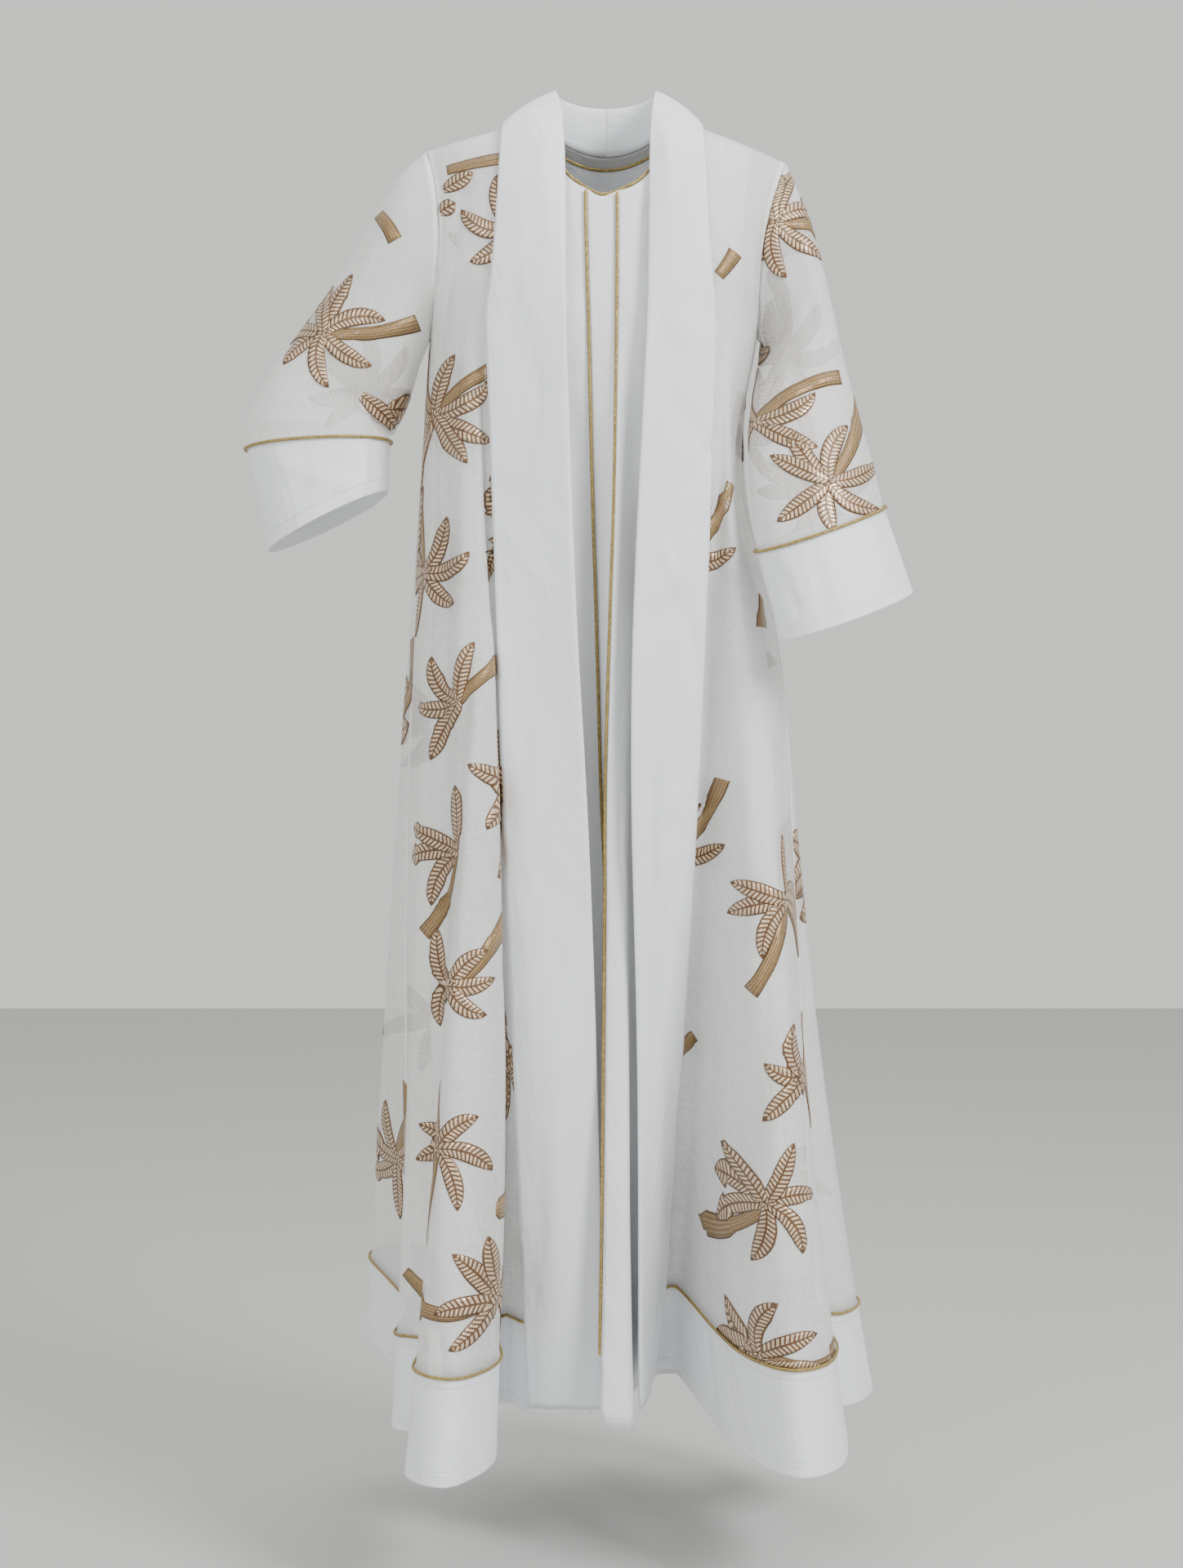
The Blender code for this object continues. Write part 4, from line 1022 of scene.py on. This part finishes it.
DRESS_LEFT_FOLDS = (
    ("side_left", 270, 0.180, 0.012, 0.1960, 0.080, 1.340, 3),
    ("front_round", 294, 0.150, -0.048, 0.1520, 0.020, 1.342, 2),
    ("hollow", 312, 0.104, -0.018, 0.1000, 0.128, 1.342, 2),
    ("behind_lapel", 328, 0.052, -0.030, 0.0480, 0.132, 1.344, 2),
    ("column_side", 343, 0.0300, -0.036, 0.0260, 0.044, 1.348, 2),
    ("column_front", 350, 0.0215, -0.061, 0.0270, -0.034, 1.357, 2),
)


def dress_line(side, t):
    """A point of one piped line below the chest, at the height of a ring of the skirt."""
    return centre_front_point(LINE_COLUMNS[side], CHEST_Z + (-DRESS_LINE_DROP - CHEST_Z) * t)


def dress_ring(t):
    """One ring of the dress's skirt, from the right piped line round the back to the left piped line."""
    rows = DRESS_RIGHT_FOLDS + DRESS_BACK_FOLDS + DRESS_LEFT_FOLDS
    heads = [fold_point(row, t, DRESS_IN) for row in rows]
    points = [dress_line("right", t), *heads, dress_line("left", t)]
    return through(points, [EDGE_COLUMNS] + [row[-1] for row in rows])


DRESS_CREASES = {
    "front_right": (
        (-0.080, -0.30, -0.090, -0.90, 0.014, 0.0030),
        (-0.040, -0.60, -0.046, -1.20, 0.012, -0.0026),
        (-0.120, -0.60, -0.125, -1.20, 0.014, -0.0030),
    ),
    "front_left": (
        (0.080, -0.30, 0.085, -0.90, 0.014, 0.0030),
        (0.050, -0.60, 0.045, -1.20, 0.012, -0.0026),
        (0.0245, -0.62, 0.024, -1.30, 0.006, -0.0012),
        (0.120, -0.60, 0.125, -1.20, 0.014, -0.0030),
    ),
    "back": (
        (-0.080, -0.30, -0.085, -1.10, 0.016, 0.0034),
        (0.000, -0.40, 0.004, -1.20, 0.016, -0.0034),
        (0.090, -0.30, 0.095, -1.10, 0.016, 0.0034),
    ),
}
dress_cloth = crepe(
    "Dress crepe",
    light=(0.88, 0.895, 0.92, 1.0),
    shade=(0.83, 0.85, 0.88, 1.0),
    roughness=0.55,
    stitches=(("hem", DRESS_HEM_STITCH),),
)
dress_grids = {}
for name, columns in panel_columns(DRESS_RIGHT_FOLDS, DRESS_BACK_FOLDS, DRESS_LEFT_FOLDS).items():
    panel = skirt(dress_ring, columns, 0.0)[0]
    count = panel.shape[1]
    if name == "back":
        top = spread(-DRESS_SHOULDER_HALF, DRESS_SHOULDER_HALF, count)
        upper = yoke(panel[0], 1, DRESS_IN, top, DRESS_ARMHOLE_IN)
    else:
        side, sign = ("right", -1) if name == "front_right" else ("left", 1)
        top = spread(CENTRE_FRONT[0][LINE_COLUMNS[side][0]], sign * DRESS_SHOULDER_HALF, count)
        if sign > 0:
            top.reverse()
        upper = yoke(panel[0], -1, DRESS_IN, top, DRESS_ARMHOLE_IN)
    dress_grids[name] = np.concatenate([upper, panel])
right_line = dress_grids["front_right"][:, 0]
left_line = dress_grids["front_left"][:, -1]
middle_line = (right_line + left_line) / 2
for i, s in enumerate(SHOULDER_ROWS[: DRESS_V_ROWS + 1]):
    middle_line[i, 2] -= DRESS_V_NOTCH * (1 - s / SHOULDER_ROWS[DRESS_V_ROWS])
dress_grids["front_centre"] = np.stack([right_line, middle_line, left_line], axis=1)

# Each piece of the dress: a thin crepe shell on a finer grid, with its creases
for name, grid in dress_grids.items():
    fine = finer(grid, DRESS_FINE_ROWS, DRESS_FINE_COLUMNS)
    if name == "front_centre":
        fine = fine[:, ::-1]
    piece = cloth_shell("crepe_dress_" + name, fine, DRESS_CREPE, creases=DRESS_CREASES.get(name, ()))
    piece.data.materials.append(dress_cloth)
    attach(piece, "root")
    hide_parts("dress_" + name)

# The piping: cords covered with gold metallic yarn, sewn into the seams of the cuffs and hem bands, round
# the neck of the dress and down both sides of its centre strip.
PIPING_RADIUS = 0.0016
PIPING_LIFT = 0.0004
SHARPEST_MITRE = 2.0
NECK_PIPING_LIFT = 0.0009
HEM_PIPING_ROWS = 4
LINE_PIPING_ROWS = 5
LINE_PIPING_COLUMNS = 2
# Points left out at each end of a line down the dress, next to the neck's piping and the hem
LINE_ENDS = 4
# Painted glints on metallic thread: how much a glint lightens the thread's colour and its least brightness,
# the brightness from which a glint shines, and how metallic it is there
PAINTED_GLINT_BRIGHTNESS = (0.8, 0.55)
SHINES_FROM = 0.62
SHINE = 0.75
GOLD_DARK = (0.15, 0.10, 0.025, 1.0)
GOLD_LIGHT = (0.56, 0.41, 0.13, 1.0)


def neck_line(grids):
    """The line of the piping round the dress's neck, just above its edge."""
    points = []
    for name in ("front_centre", "front_left", "back", "front_right"):
        grid = grids[name]
        columns = [j for j in range(grid.shape[1]) if abs(grid[0, j, 0]) < DRESS_NECK_HALF]
        if name == "front_centre":
            columns = [1]
        elif name != "back":
            columns = columns[:-1] if name == "front_left" else columns[1:]
        line = []
        for j in columns:
            last = grid.shape[1] - 1
            along = grid[0, min(j + 1, last)] - grid[0, max(j - 1, 0)]
            along /= np.linalg.norm(along)
            up = grid[0, j] - grid[1, j]
            up -= along * np.dot(up, along)
            line.append(grid[0, j] + up / np.linalg.norm(up) * (PIPING_RADIUS + NECK_PIPING_LIFT))
        points += line if name == "front_centre" else line[::-1]
        if name in ("front_left", "back"):
            inner = DRESS_NECK_HALF - PIPING_RADIUS - NECK_PIPING_LIFT
            sign = 1 if name == "front_left" else -1
            points.append(np.array([sign * inner, 0.0, shoulder_z(sign * DRESS_NECK_HALF, DRESS_IN)]))
    return finer(np.array([points, points]), 1, 4, around=True)[0]


def beside(line, out, closed=False):
    """A seam's line moved out for its piping, with mitred corners so that it keeps its distance."""
    before = np.roll(line, 1, axis=0)
    after = np.roll(line, -1, axis=0)
    if not closed:
        before[0] = 2 * line[0] - line[1]
        after[-1] = 2 * line[-1] - line[-2]
    arriving = (line - before) / np.linalg.norm(line - before, axis=1, keepdims=True)
    leaving = (after - line) / np.linalg.norm(after - line, axis=1, keepdims=True)
    along = arriving + leaving
    along /= np.linalg.norm(along, axis=1, keepdims=True)
    up = out - along * (out * along).sum(axis=1, keepdims=True)
    up /= np.linalg.norm(up, axis=1, keepdims=True)
    mitre = 1 / np.maximum((arriving * along).sum(axis=1, keepdims=True), 1 / SHARPEST_MITRE)
    return line + up * mitre * (CREPE / 2 + PIPING_RADIUS + PIPING_LIFT)


def painted_glint_cells():
    """A node group for painted glints on metallic thread: small cells of random brightness in space."""
    group, enter, leave = effect("Painted glint cells", ("Glints per metre",), ("Glint",))
    place = add_node(group, "TexCoord", {}).outputs["Object"]
    cells = add_node(group, "TexVoronoi", {"Vector": place, "Scale": enter.outputs["Glints per metre"]})
    fill(group, leave, {"Glint": add_node(group, "SeparateColor", {0: cells.outputs["Color"]}).outputs[0]})
    return group


def glints(tree, per_metre):
    """The brightness of painted glints on metallic thread at a place, with so many glints a metre."""
    return shared(tree, "Painted glint cells", painted_glint_cells, {"Glints per metre": per_metre})["Glint"]


def thread_shader(tree, shader, glint, dark, light, mask, normal):
    """Metallic thread between two colours by a mask, lightened and darkened by painted glints; the brightest
    are metallic.
    """
    # Painted glints: the thread's colour is scaled by each cell's brightness
    shade = math_node(tree, "MULTIPLY_ADD", glint, *PAINTED_GLINT_BRIGHTNESS)
    varied = {0: tinted(tree, mask, dark, light), "Scale": shade}
    shine = math_node(tree, "GREATER_THAN", glint, SHINES_FROM)
    fill(tree, shader, {
        "Base Color": add_node(tree, "VectorMath", varied, operation="SCALE").outputs[0],
        "Metallic": math_node(tree, "MULTIPLY", shine, SHINE),
        "Roughness": 0.42,
        "Normal": normal,
    })


def gold_yarn():
    """Gold yarn wound round a cord: warm gold with fine light and dark flecks of painted glitter."""
    made, tree, shader = new_material("Gold yarn")
    # Painted glitter: tiny cells of light and dark gold, also used for the bump
    painted_glitter = glints(tree, 1500.0)
    normal = bumped(tree, 0.5, 0.0004, painted_glitter)
    thread_shader(tree, shader, glints(tree, 700.0), GOLD_DARK, GOLD_LIGHT, painted_glitter, normal)
    return made


gold = gold_yarn()


def cord(name, node, points, closed=False):
    """A round cord along points, which stands for its plainer solid."""
    curve = bpy.data.curves.new(name, "CURVE")
    curve.dimensions = "3D"
    curve.bevel_depth = PIPING_RADIUS
    curve.bevel_resolution = 3
    curve.use_fill_caps = True
    curve.materials.append(gold)
    line = curve.splines.new("POLY")
    line.points.add(len(points) - 1)
    for place, point in zip(points, line.points):
        point.co = (*place, 1.0)
    line.use_cyclic_u = closed
    made = placed(name, curve)
    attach(made, "root")
    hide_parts(node)


for name, grid in strip_grids.items():
    fine = finer(grid, HEM_PIPING_ROWS, PANEL_COLUMNS)
    line = beside(fine[0], outward(fine)[0])
    if name == "front_right":
        line = line[COLLAR_COLUMN * PANEL_COLUMNS :]
    if name == "front_left":
        line = line[: -COLLAR_COLUMN * PANEL_COLUMNS]
    cord("gold_hem_" + name, "piping_hem_" + name, line)
for side, (line, out) in cuff_seams.items():
    cord("gold_cuff_" + side, "piping_cuff_" + side, beside(line, out, closed=True), closed=True)
centre = finer(dress_grids["front_centre"], LINE_PIPING_ROWS, LINE_PIPING_COLUMNS)
out = outward(centre)
if out[len(out) // 2, LINE_PIPING_COLUMNS, 1] > 0:
    out = -out
for side, column in (("right", 0), ("left", -1)):
    line = beside(centre[:, column], out[:, column])[LINE_ENDS:-LINE_ENDS]
    cord("gold_line_" + side, "piping_front_" + side, line)
cord("gold_neck", "piping_neck", neck_line(dress_grids), closed=True)

# The embroidered palms: each has seven fronds and a curved trunk, worked in brown and rose-gold metallic
# thread over the organza. Every frond is walked over the cloth, so it lies in its folds.
EMBROIDERY = 0.0016
PALM_STEP = 0.004
TRUNK_LENGTH = 0.100
TRUNK_HALF = 0.0068
TRUNK_TURN = -34
TRUNK_AT_ROOT = 0.85
TRUNK_SWELL = 0.30
FROND_LIFT = 0.00012
# A frond's outline: its fullness, its width at the root, how it swells and how its tip tapers
FROND_FULLNESS = 1.62
FROND_AT_ROOT = 0.12
FROND_SWELL = 0.6
FROND_TAPER = 2.2
FROND_BLUNTNESS = 0.8
MOST_STRETCH = 1.8
LEAST_ADVANCE = 0.5
FACING = 0.35
# Lengths along a frond: a stroke with its dark part, that part, its lean across the frond, and half a tooth
STROKE = 0.0045
STROKE_DARK = 0.0019
STROKE_SLANT = 0.0042
TOOTH = 0.0011
TOOTH_SLOPE = 60.0
# Shares of a frond's half width and length, and of a trunk's half width, where the dark thread begins or ends
FROND_RIM = 0.90
FROND_MIDRIB = 0.11
FROND_TIP = 0.93
TRUNK_RIM = 0.86
TRUNK_ROWS = 15.7
TRUNK_STITCHES = 3600.0
FROND_DARK = (0.15, 0.078, 0.034, 1.0)
FROND_LIGHT = (0.70, 0.54, 0.38, 1.0)
TRUNK_DARK = (0.15, 0.083, 0.034, 1.0)
TRUNK_LIGHT = (0.47, 0.32, 0.15, 1.0)
# Angle from the trunk, length, turn from root to tip, and half the width
PALM_FRONDS = (
    (-18, 0.069, 60, 0.0096),
    (23, 0.063, -42, 0.0090),
    (71, 0.062, -75, 0.0092),
    (132, 0.054, -57, 0.0092),
    (-167, 0.066, 8, 0.0096),
    (-103, 0.065, 6, 0.0092),
    (-72, 0.069, 36, 0.0098),
)


def on_cloth(tree, place, normal):
    """The nearest point of the cloth, with its normal on the same side as the last one."""
    point, found, _, _ = tree.find_nearest(place)
    return point, found if found.dot(normal) > 0 else -found


def looking(view):
    """The directions to the right and away for a viewer at an angle round the wearer, 0 in front."""
    turn = math.radians(view)
    return Vector((math.cos(turn), math.sin(turn), 0.0)), Vector((-math.sin(turn), math.cos(turn), 0.0))


def seen_at(normal, degrees, view):
    """The tangent of the cloth that this viewer sees one unit long at this heading from the right."""
    right, away = looking(view)
    flat = right * math.cos(math.radians(degrees)) + Vector((0.0, 0.0, math.sin(math.radians(degrees))))
    tangent = flat - away * (normal.dot(flat) / normal.dot(away))
    return tangent * min(1.0, MOST_STRETCH / tangent.length)


def walked(tree, place, normal, direction, turn, length, view):
    """A line over the cloth: its points, their normals and the way across. It ends at the cloth's own edge.

    Where the cloth faces the viewer the line is drawn as it is seen, and round a fold it goes straight on.
    """
    steps = max(2, round(length / PALM_STEP))
    ahead = seen_at(normal, direction, view)
    away = looking(view)[1]
    line = []
    for i in range(steps + 1):
        if -normal.dot(away) > FACING:
            angle = direction + turn * i / steps
            ahead = seen_at(normal, angle, view)
            across = seen_at(normal, angle + 90, view)
        else:
            ahead = Quaternion(normal, math.radians(turn) / steps) @ ahead
            across = normal.cross(ahead)
        line.append((place, normal, across))
        spot, above = on_cloth(tree, place + ahead * (length / steps), normal)
        moved = spot - place
        if moved.length < LEAST_ADVANCE * ahead.length * length / steps:
            break
        moved -= above * moved.dot(above)
        ahead = moved.normalized() * ahead.length
        place, normal = spot, above
    return line, (len(line) - 1) / steps


def embroidered(build, tree, place, normal, direction, turn, length, half_width, trunk, lift, view):
    """Adds a frond or a trunk to the mesh. Its UV map is metres along it, then -1 to 1 across it."""
    line, share = walked(tree, place, normal, direction, turn, length, view)
    if len(line) < 3:
        return
    columns = 2 if trunk else 4
    made = bmesh.ops.create_grid(build, x_segments=len(line) - 1, y_segments=columns, size=0.5)
    uv = build.loops.layers.uv["UVMap"]
    along = build.verts.layers.float["along"]
    spots = {}
    for vert in made["verts"]:
        i = round((vert.co.x + 0.5) * (len(line) - 1))
        edge = round((vert.co.y + 0.5) * columns) / columns * 2 - 1
        s = share * i / (len(line) - 1)
        point, above, across = line[i]
        if trunk:
            half = half_width * (TRUNK_AT_ROOT + TRUNK_SWELL * s)
        else:
            half = half_width * FROND_FULLNESS * (s + FROND_AT_ROOT) ** FROND_SWELL
            half *= (1 - min(s, 0.999) ** FROND_TAPER) ** FROND_BLUNTNESS
        spot, out = on_cloth(tree, point + across * (half * edge), above)
        spots[vert] = (length * s, edge)
        vert[along] = s
        vert.co = spot + out * lift
    for face in {face for vert in made["verts"] for face in vert.link_faces}:
        face.smooth = True
        face.material_index = 1 if trunk else 0
        for loop in face.loops:
            loop[uv].uv = spots[loop.vert]


def palm(build, tree, place, normal, heading, mirrored, view, folded=()):
    """One palm at a place on the cloth, whose trunk starts at the heading that the viewer sees.

    The fronds that a fold or the lapel hides are left out by their number.
    """
    sign = -1 if mirrored else 1
    embroidered(
        build, tree, place, normal, heading, sign * TRUNK_TURN, TRUNK_LENGTH, TRUNK_HALF, True, 0.0, view
    )
    for k, (angle, length, curl, half) in enumerate(PALM_FRONDS):
        if k in folded:
            continue
        direction = heading + sign * (angle - curl / 2)
        lift = FROND_LIFT * (k % 3 + 1)
        embroidered(build, tree, place, normal, direction, sign * curl, length, half, False, lift, view)


def met_from(tree, across, z, view):
    """The place and normal of the cloth that a level line from this viewer meets."""
    right, away = looking(view)
    place, normal, _, _ = tree.ray_cast(right * across - away + Vector((0.0, 0.0, z)), away)
    if place is None:
        return None
    return place, normal if normal.dot(away) < 0 else -normal


def frond_thread():
    """A frond: dark outline and midrib, with slanting stitches of pale and brown thread between them."""
    made, tree, shader = new_material("Frond thread")
    place = cut_parts(tree)
    along, across = place["X"], math_node(tree, "ABSOLUTE", place["Y"])
    teeth = math_node(tree, "MULTIPLY", math_node(tree, "PINGPONG", along, TOOTH), TOOTH_SLOPE)
    outline = math_node(tree, "GREATER_THAN", math_node(tree, "ADD", across, teeth), FROND_RIM)
    midrib = math_node(tree, "LESS_THAN", across, FROND_MIDRIB)
    share = add_node(tree, "Attribute", {}, attribute_name="along").outputs["Fac"]
    end = math_node(tree, "GREATER_THAN", share, FROND_TIP)
    dark = math_node(tree, "MAXIMUM", math_node(tree, "MAXIMUM", outline, midrib), end)
    slanted = math_node(tree, "ADD", along, math_node(tree, "MULTIPLY", across, -STROKE_SLANT))
    step = math_node(tree, "MODULO", math_node(tree, "ADD", slanted, 4 * STROKE), STROKE)
    stroke = math_node(tree, "GREATER_THAN", step, STROKE_DARK)
    light = math_node(tree, "MAXIMUM", math_node(tree, "SUBTRACT", stroke, dark), 0.0)
    height = math_node(tree, "ADD", math_node(tree, "SUBTRACT", 1.0, stroke), dark)
    normal = bumped(tree, 0.6, 0.0005, height)
    # The thread's glints are painted into its colour
    thread_shader(tree, shader, glints(tree, 900.0), FROND_DARK, FROND_LIGHT, light, normal)
    return made


def trunk_thread():
    """A trunk: brown-gold thread in lengthwise rows between darker edges."""
    made, tree, shader = new_material("Trunk thread")
    place = cut_parts(tree)
    rows = math_node(tree, "SINE", math_node(tree, "MULTIPLY", place["Y"], TRUNK_ROWS))
    stitches = math_node(tree, "SINE", math_node(tree, "MULTIPLY", place["X"], TRUNK_STITCHES))
    inner = math_node(tree, "LESS_THAN", math_node(tree, "ABSOLUTE", place["Y"]), TRUNK_RIM)
    light = math_node(tree, "MULTIPLY_ADD", stitches, 0.22, math_node(tree, "MULTIPLY_ADD", rows, 0.30, 0.5))
    light = math_node(tree, "MULTIPLY", light, inner)
    normal = bumped(tree, 0.5, 0.0004, light)
    # The thread's glints are painted into its colour
    thread_shader(tree, shader, glints(tree, 1100.0), TRUNK_DARK, TRUNK_LIGHT, light, normal)
    return made


frond_cover = frond_thread()
trunk_cover = trunk_thread()
# The cloth, the viewer's angle, the place across and up, the trunk's heading, whether it is mirrored, and
# the numbers of the fronds that a fold or the lapel hides
PALMS = (
    ("sleeve_right", 0, -0.291, -0.228, 350, True),
    ("front_right", 0, -0.095, -0.137, 80, False),
    ("front_right", 0, -0.175, -0.314, 45, False),
    ("front_right", 0, -0.100, -0.441, 10, True),
    ("front_right", 0, -0.188, -0.475, 90, True),
    ("front_right", 0, -0.149, -0.608, 50, False, 0, 5, 6),
    ("front_right", 0, -0.107, -0.700, 350, True),
    ("front_right", 0, -0.149, -0.758, 260, False, 1, 2, 3),
    ("front_right", 0, -0.160, -0.894, 30, True, 4, 5),
    ("back", 0, -0.225, -1.096, 80, False),
    ("front_right", 0, -0.095, -0.975, 320, True),
    ("front_right", 0, -0.167, -1.050, 265, False),
    ("front_right", 0, -0.108, -1.200, 200, False),
    ("sleeve_left", 0, 0.172, -0.118, 355, True),
    ("sleeve_left", 0, 0.150, -0.324, 45, False, 1, 5),
    ("sleeve_left", 0, 0.220, -0.392, 50, True),
    ("front_left", 0, 0.072, -0.470, 40, True, 2),
    ("front_left", 0, 0.064, -0.768, 40, True, 2, 4, 5, 6),
    ("front_left", 0, 0.181, -0.808, 264, False),
    ("front_left", 0, 0.198, -0.985, 30, False),
    ("front_left", 0, 0.157, -1.105, 233, False),
    ("front_left", 0, 0.150, -1.255, 0, False),
    ("sleeve_right", 180, 0.254, -0.262, 60, False),
    ("sleeve_left", 180, -0.188, -0.240, 100, False),
    ("sleeve_left", 180, -0.215, -0.385, 95, False),
)
# Single trunks and fronds whose palm is cut off by a seam or lies in a fold. The cloth, the viewer's
# angle, the place across and up, the heading, the length, the turn, and whether it is a trunk
PALM_ENDS = (
    ("front_right", 0, -0.163, -0.064, 8, 0.066, -6, True),
    ("front_right", 0, -0.166, -0.086, 22, 0.034, 10, False),
    ("front_right", 0, -0.169, -0.110, 25, 0.018, 0, False),
    ("front_right", 0, -0.110, -1.112, 0, 0.034, 0, True),
    ("front_right", 0, -0.207, -1.193, -38, 0.034, 0, True),
    ("sleeve_right", 0, -0.235, -0.103, -58, 0.038, -6, True),
    ("sleeve_right", 0, -0.252, -0.292, -35, 0.046, -10, False),
    ("sleeve_right", 0, -0.226, -0.303, 10, 0.030, 0, False),
    ("front_left", 0, 0.112, -0.182, 52, 0.030, 6, True),
    ("front_left", 0, 0.057, -0.985, 40, 0.048, 6, True),
    ("front_left", 0, 0.157, -0.500, -88, 0.032, 0, True),
)
# The back's palms stand in staggered rows, each palm turned on from the last and every other one mirrored
BACK_ROWS = 7
BACK_TOP_ROW = -0.13
BACK_ROW_STEP = 0.165
BACK_ROW_TURN = 83
BACK_COLUMN_STEP = 0.150
BACK_COLUMN_TURN = 131
palm_rows = {}
for row in PALMS:
    palm_rows.setdefault(row[0], []).append(row[1:])
for k in range(BACK_ROWS):
    for m in range(-2, 3):
        across = (m + 0.5 * (k % 2) - 0.25) * BACK_COLUMN_STEP
        z = BACK_TOP_ROW - BACK_ROW_STEP * k
        heading = (k * BACK_ROW_TURN + m * BACK_COLUMN_TURN) % 360
        palm_rows["back"].append((180, across, z, heading, (k + m) % 2 == 0))
for cloth_name, rows in palm_rows.items():
    carrier = panels.get(cloth_name) or sleeves[cloth_name.removeprefix("sleeve_")]
    points = [vertex.co for vertex in carrier.data.vertices]
    tree = BVHTree.FromPolygons(points, [list(face.vertices) for face in carrier.data.polygons])
    build = bmesh.new()
    build.loops.layers.uv.new("UVMap")
    build.verts.layers.float.new("along")
    for view, across, z, heading, mirrored, *folded in rows:
        met = met_from(tree, across, z, view)
        if met:
            palm(build, tree, *met, heading, mirrored, view, folded)
    for name, view, across, z, heading, length, turn, trunk in PALM_ENDS:
        met = met_from(tree, across, z, view) if name == cloth_name else None
        if met:
            half = TRUNK_HALF if trunk else PALM_FRONDS[0][3]
            embroidered(build, tree, *met, heading, turn, length, half, trunk, 0.0, view)
    piece = thickened(built("palms_" + cloth_name, build), EMBROIDERY)
    piece.data.materials.append(frond_cover)
    piece.data.materials.append(trunk_cover)
    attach(piece, "root")

# Floor, light and camera: a plain pale room with soft light from both sides in front and from above. The
# camera looks level from the front, at hip height.
FLOOR_HALF = 6.0
FLOOR_Z = -1.50
FLOOR_COLOUR = (0.52, 0.52, 0.51, 1.0)
SKY_COLOUR = (0.62, 0.62, 0.60, 1.0)
SKY_STRENGTH = 1.4
# Name, place, turn in degrees, width and power
LAMPS = (
    ("Key", (2.3, -2.3, 1.5), (56, 0, 43), 1.2, 150.0),
    ("Fill", (-1.8, -2.6, 0.6), (68, 0, -35), 1.8, 42.0),
    ("Top", (0.3, 0.6, 2.2), (0, 0, 0), 1.8, 30.0),
)
CAMERA_PLACE = (-0.0154, -2.45, -0.691)
# Focal length and height of the film in millimetres
CAMERA_LENS = 53.8
CAMERA_FILM = 36.0

build = bmesh.new()
bmesh.ops.create_grid(build, x_segments=1, y_segments=1, size=FLOOR_HALF)
bmesh.ops.translate(build, verts=build.verts, vec=(0.0, 0.0, FLOOR_Z))
floor = built("floor", build)
pale, tree, shader = new_material("Pale floor")
fill(tree, shader, {"Base Color": FLOOR_COLOUR, "Roughness": 0.8})
floor.data.materials.append(pale)

world = bpy.data.worlds.new("Studio")
bpy.context.scene.world = world
world.use_nodes = True
sky = world.node_tree.nodes["Background"]
fill(world.node_tree, sky, {"Color": SKY_COLOUR, "Strength": SKY_STRENGTH})

for name, place, turn, width, power in LAMPS:
    lamp = bpy.data.lights.new(name, "AREA")
    lamp.size = width
    lamp.energy = power
    holder = placed(name, lamp)
    holder.location = place
    holder.rotation_euler = [math.radians(angle) for angle in turn]

lens = bpy.data.cameras.new("camera")
lens.sensor_fit = "VERTICAL"
lens.sensor_height = CAMERA_FILM
lens.lens = CAMERA_LENS
camera = placed("camera", lens)
camera.location = CAMERA_PLACE
camera.rotation_euler = (math.radians(90), 0.0, 0.0)
bpy.context.scene.camera = camera
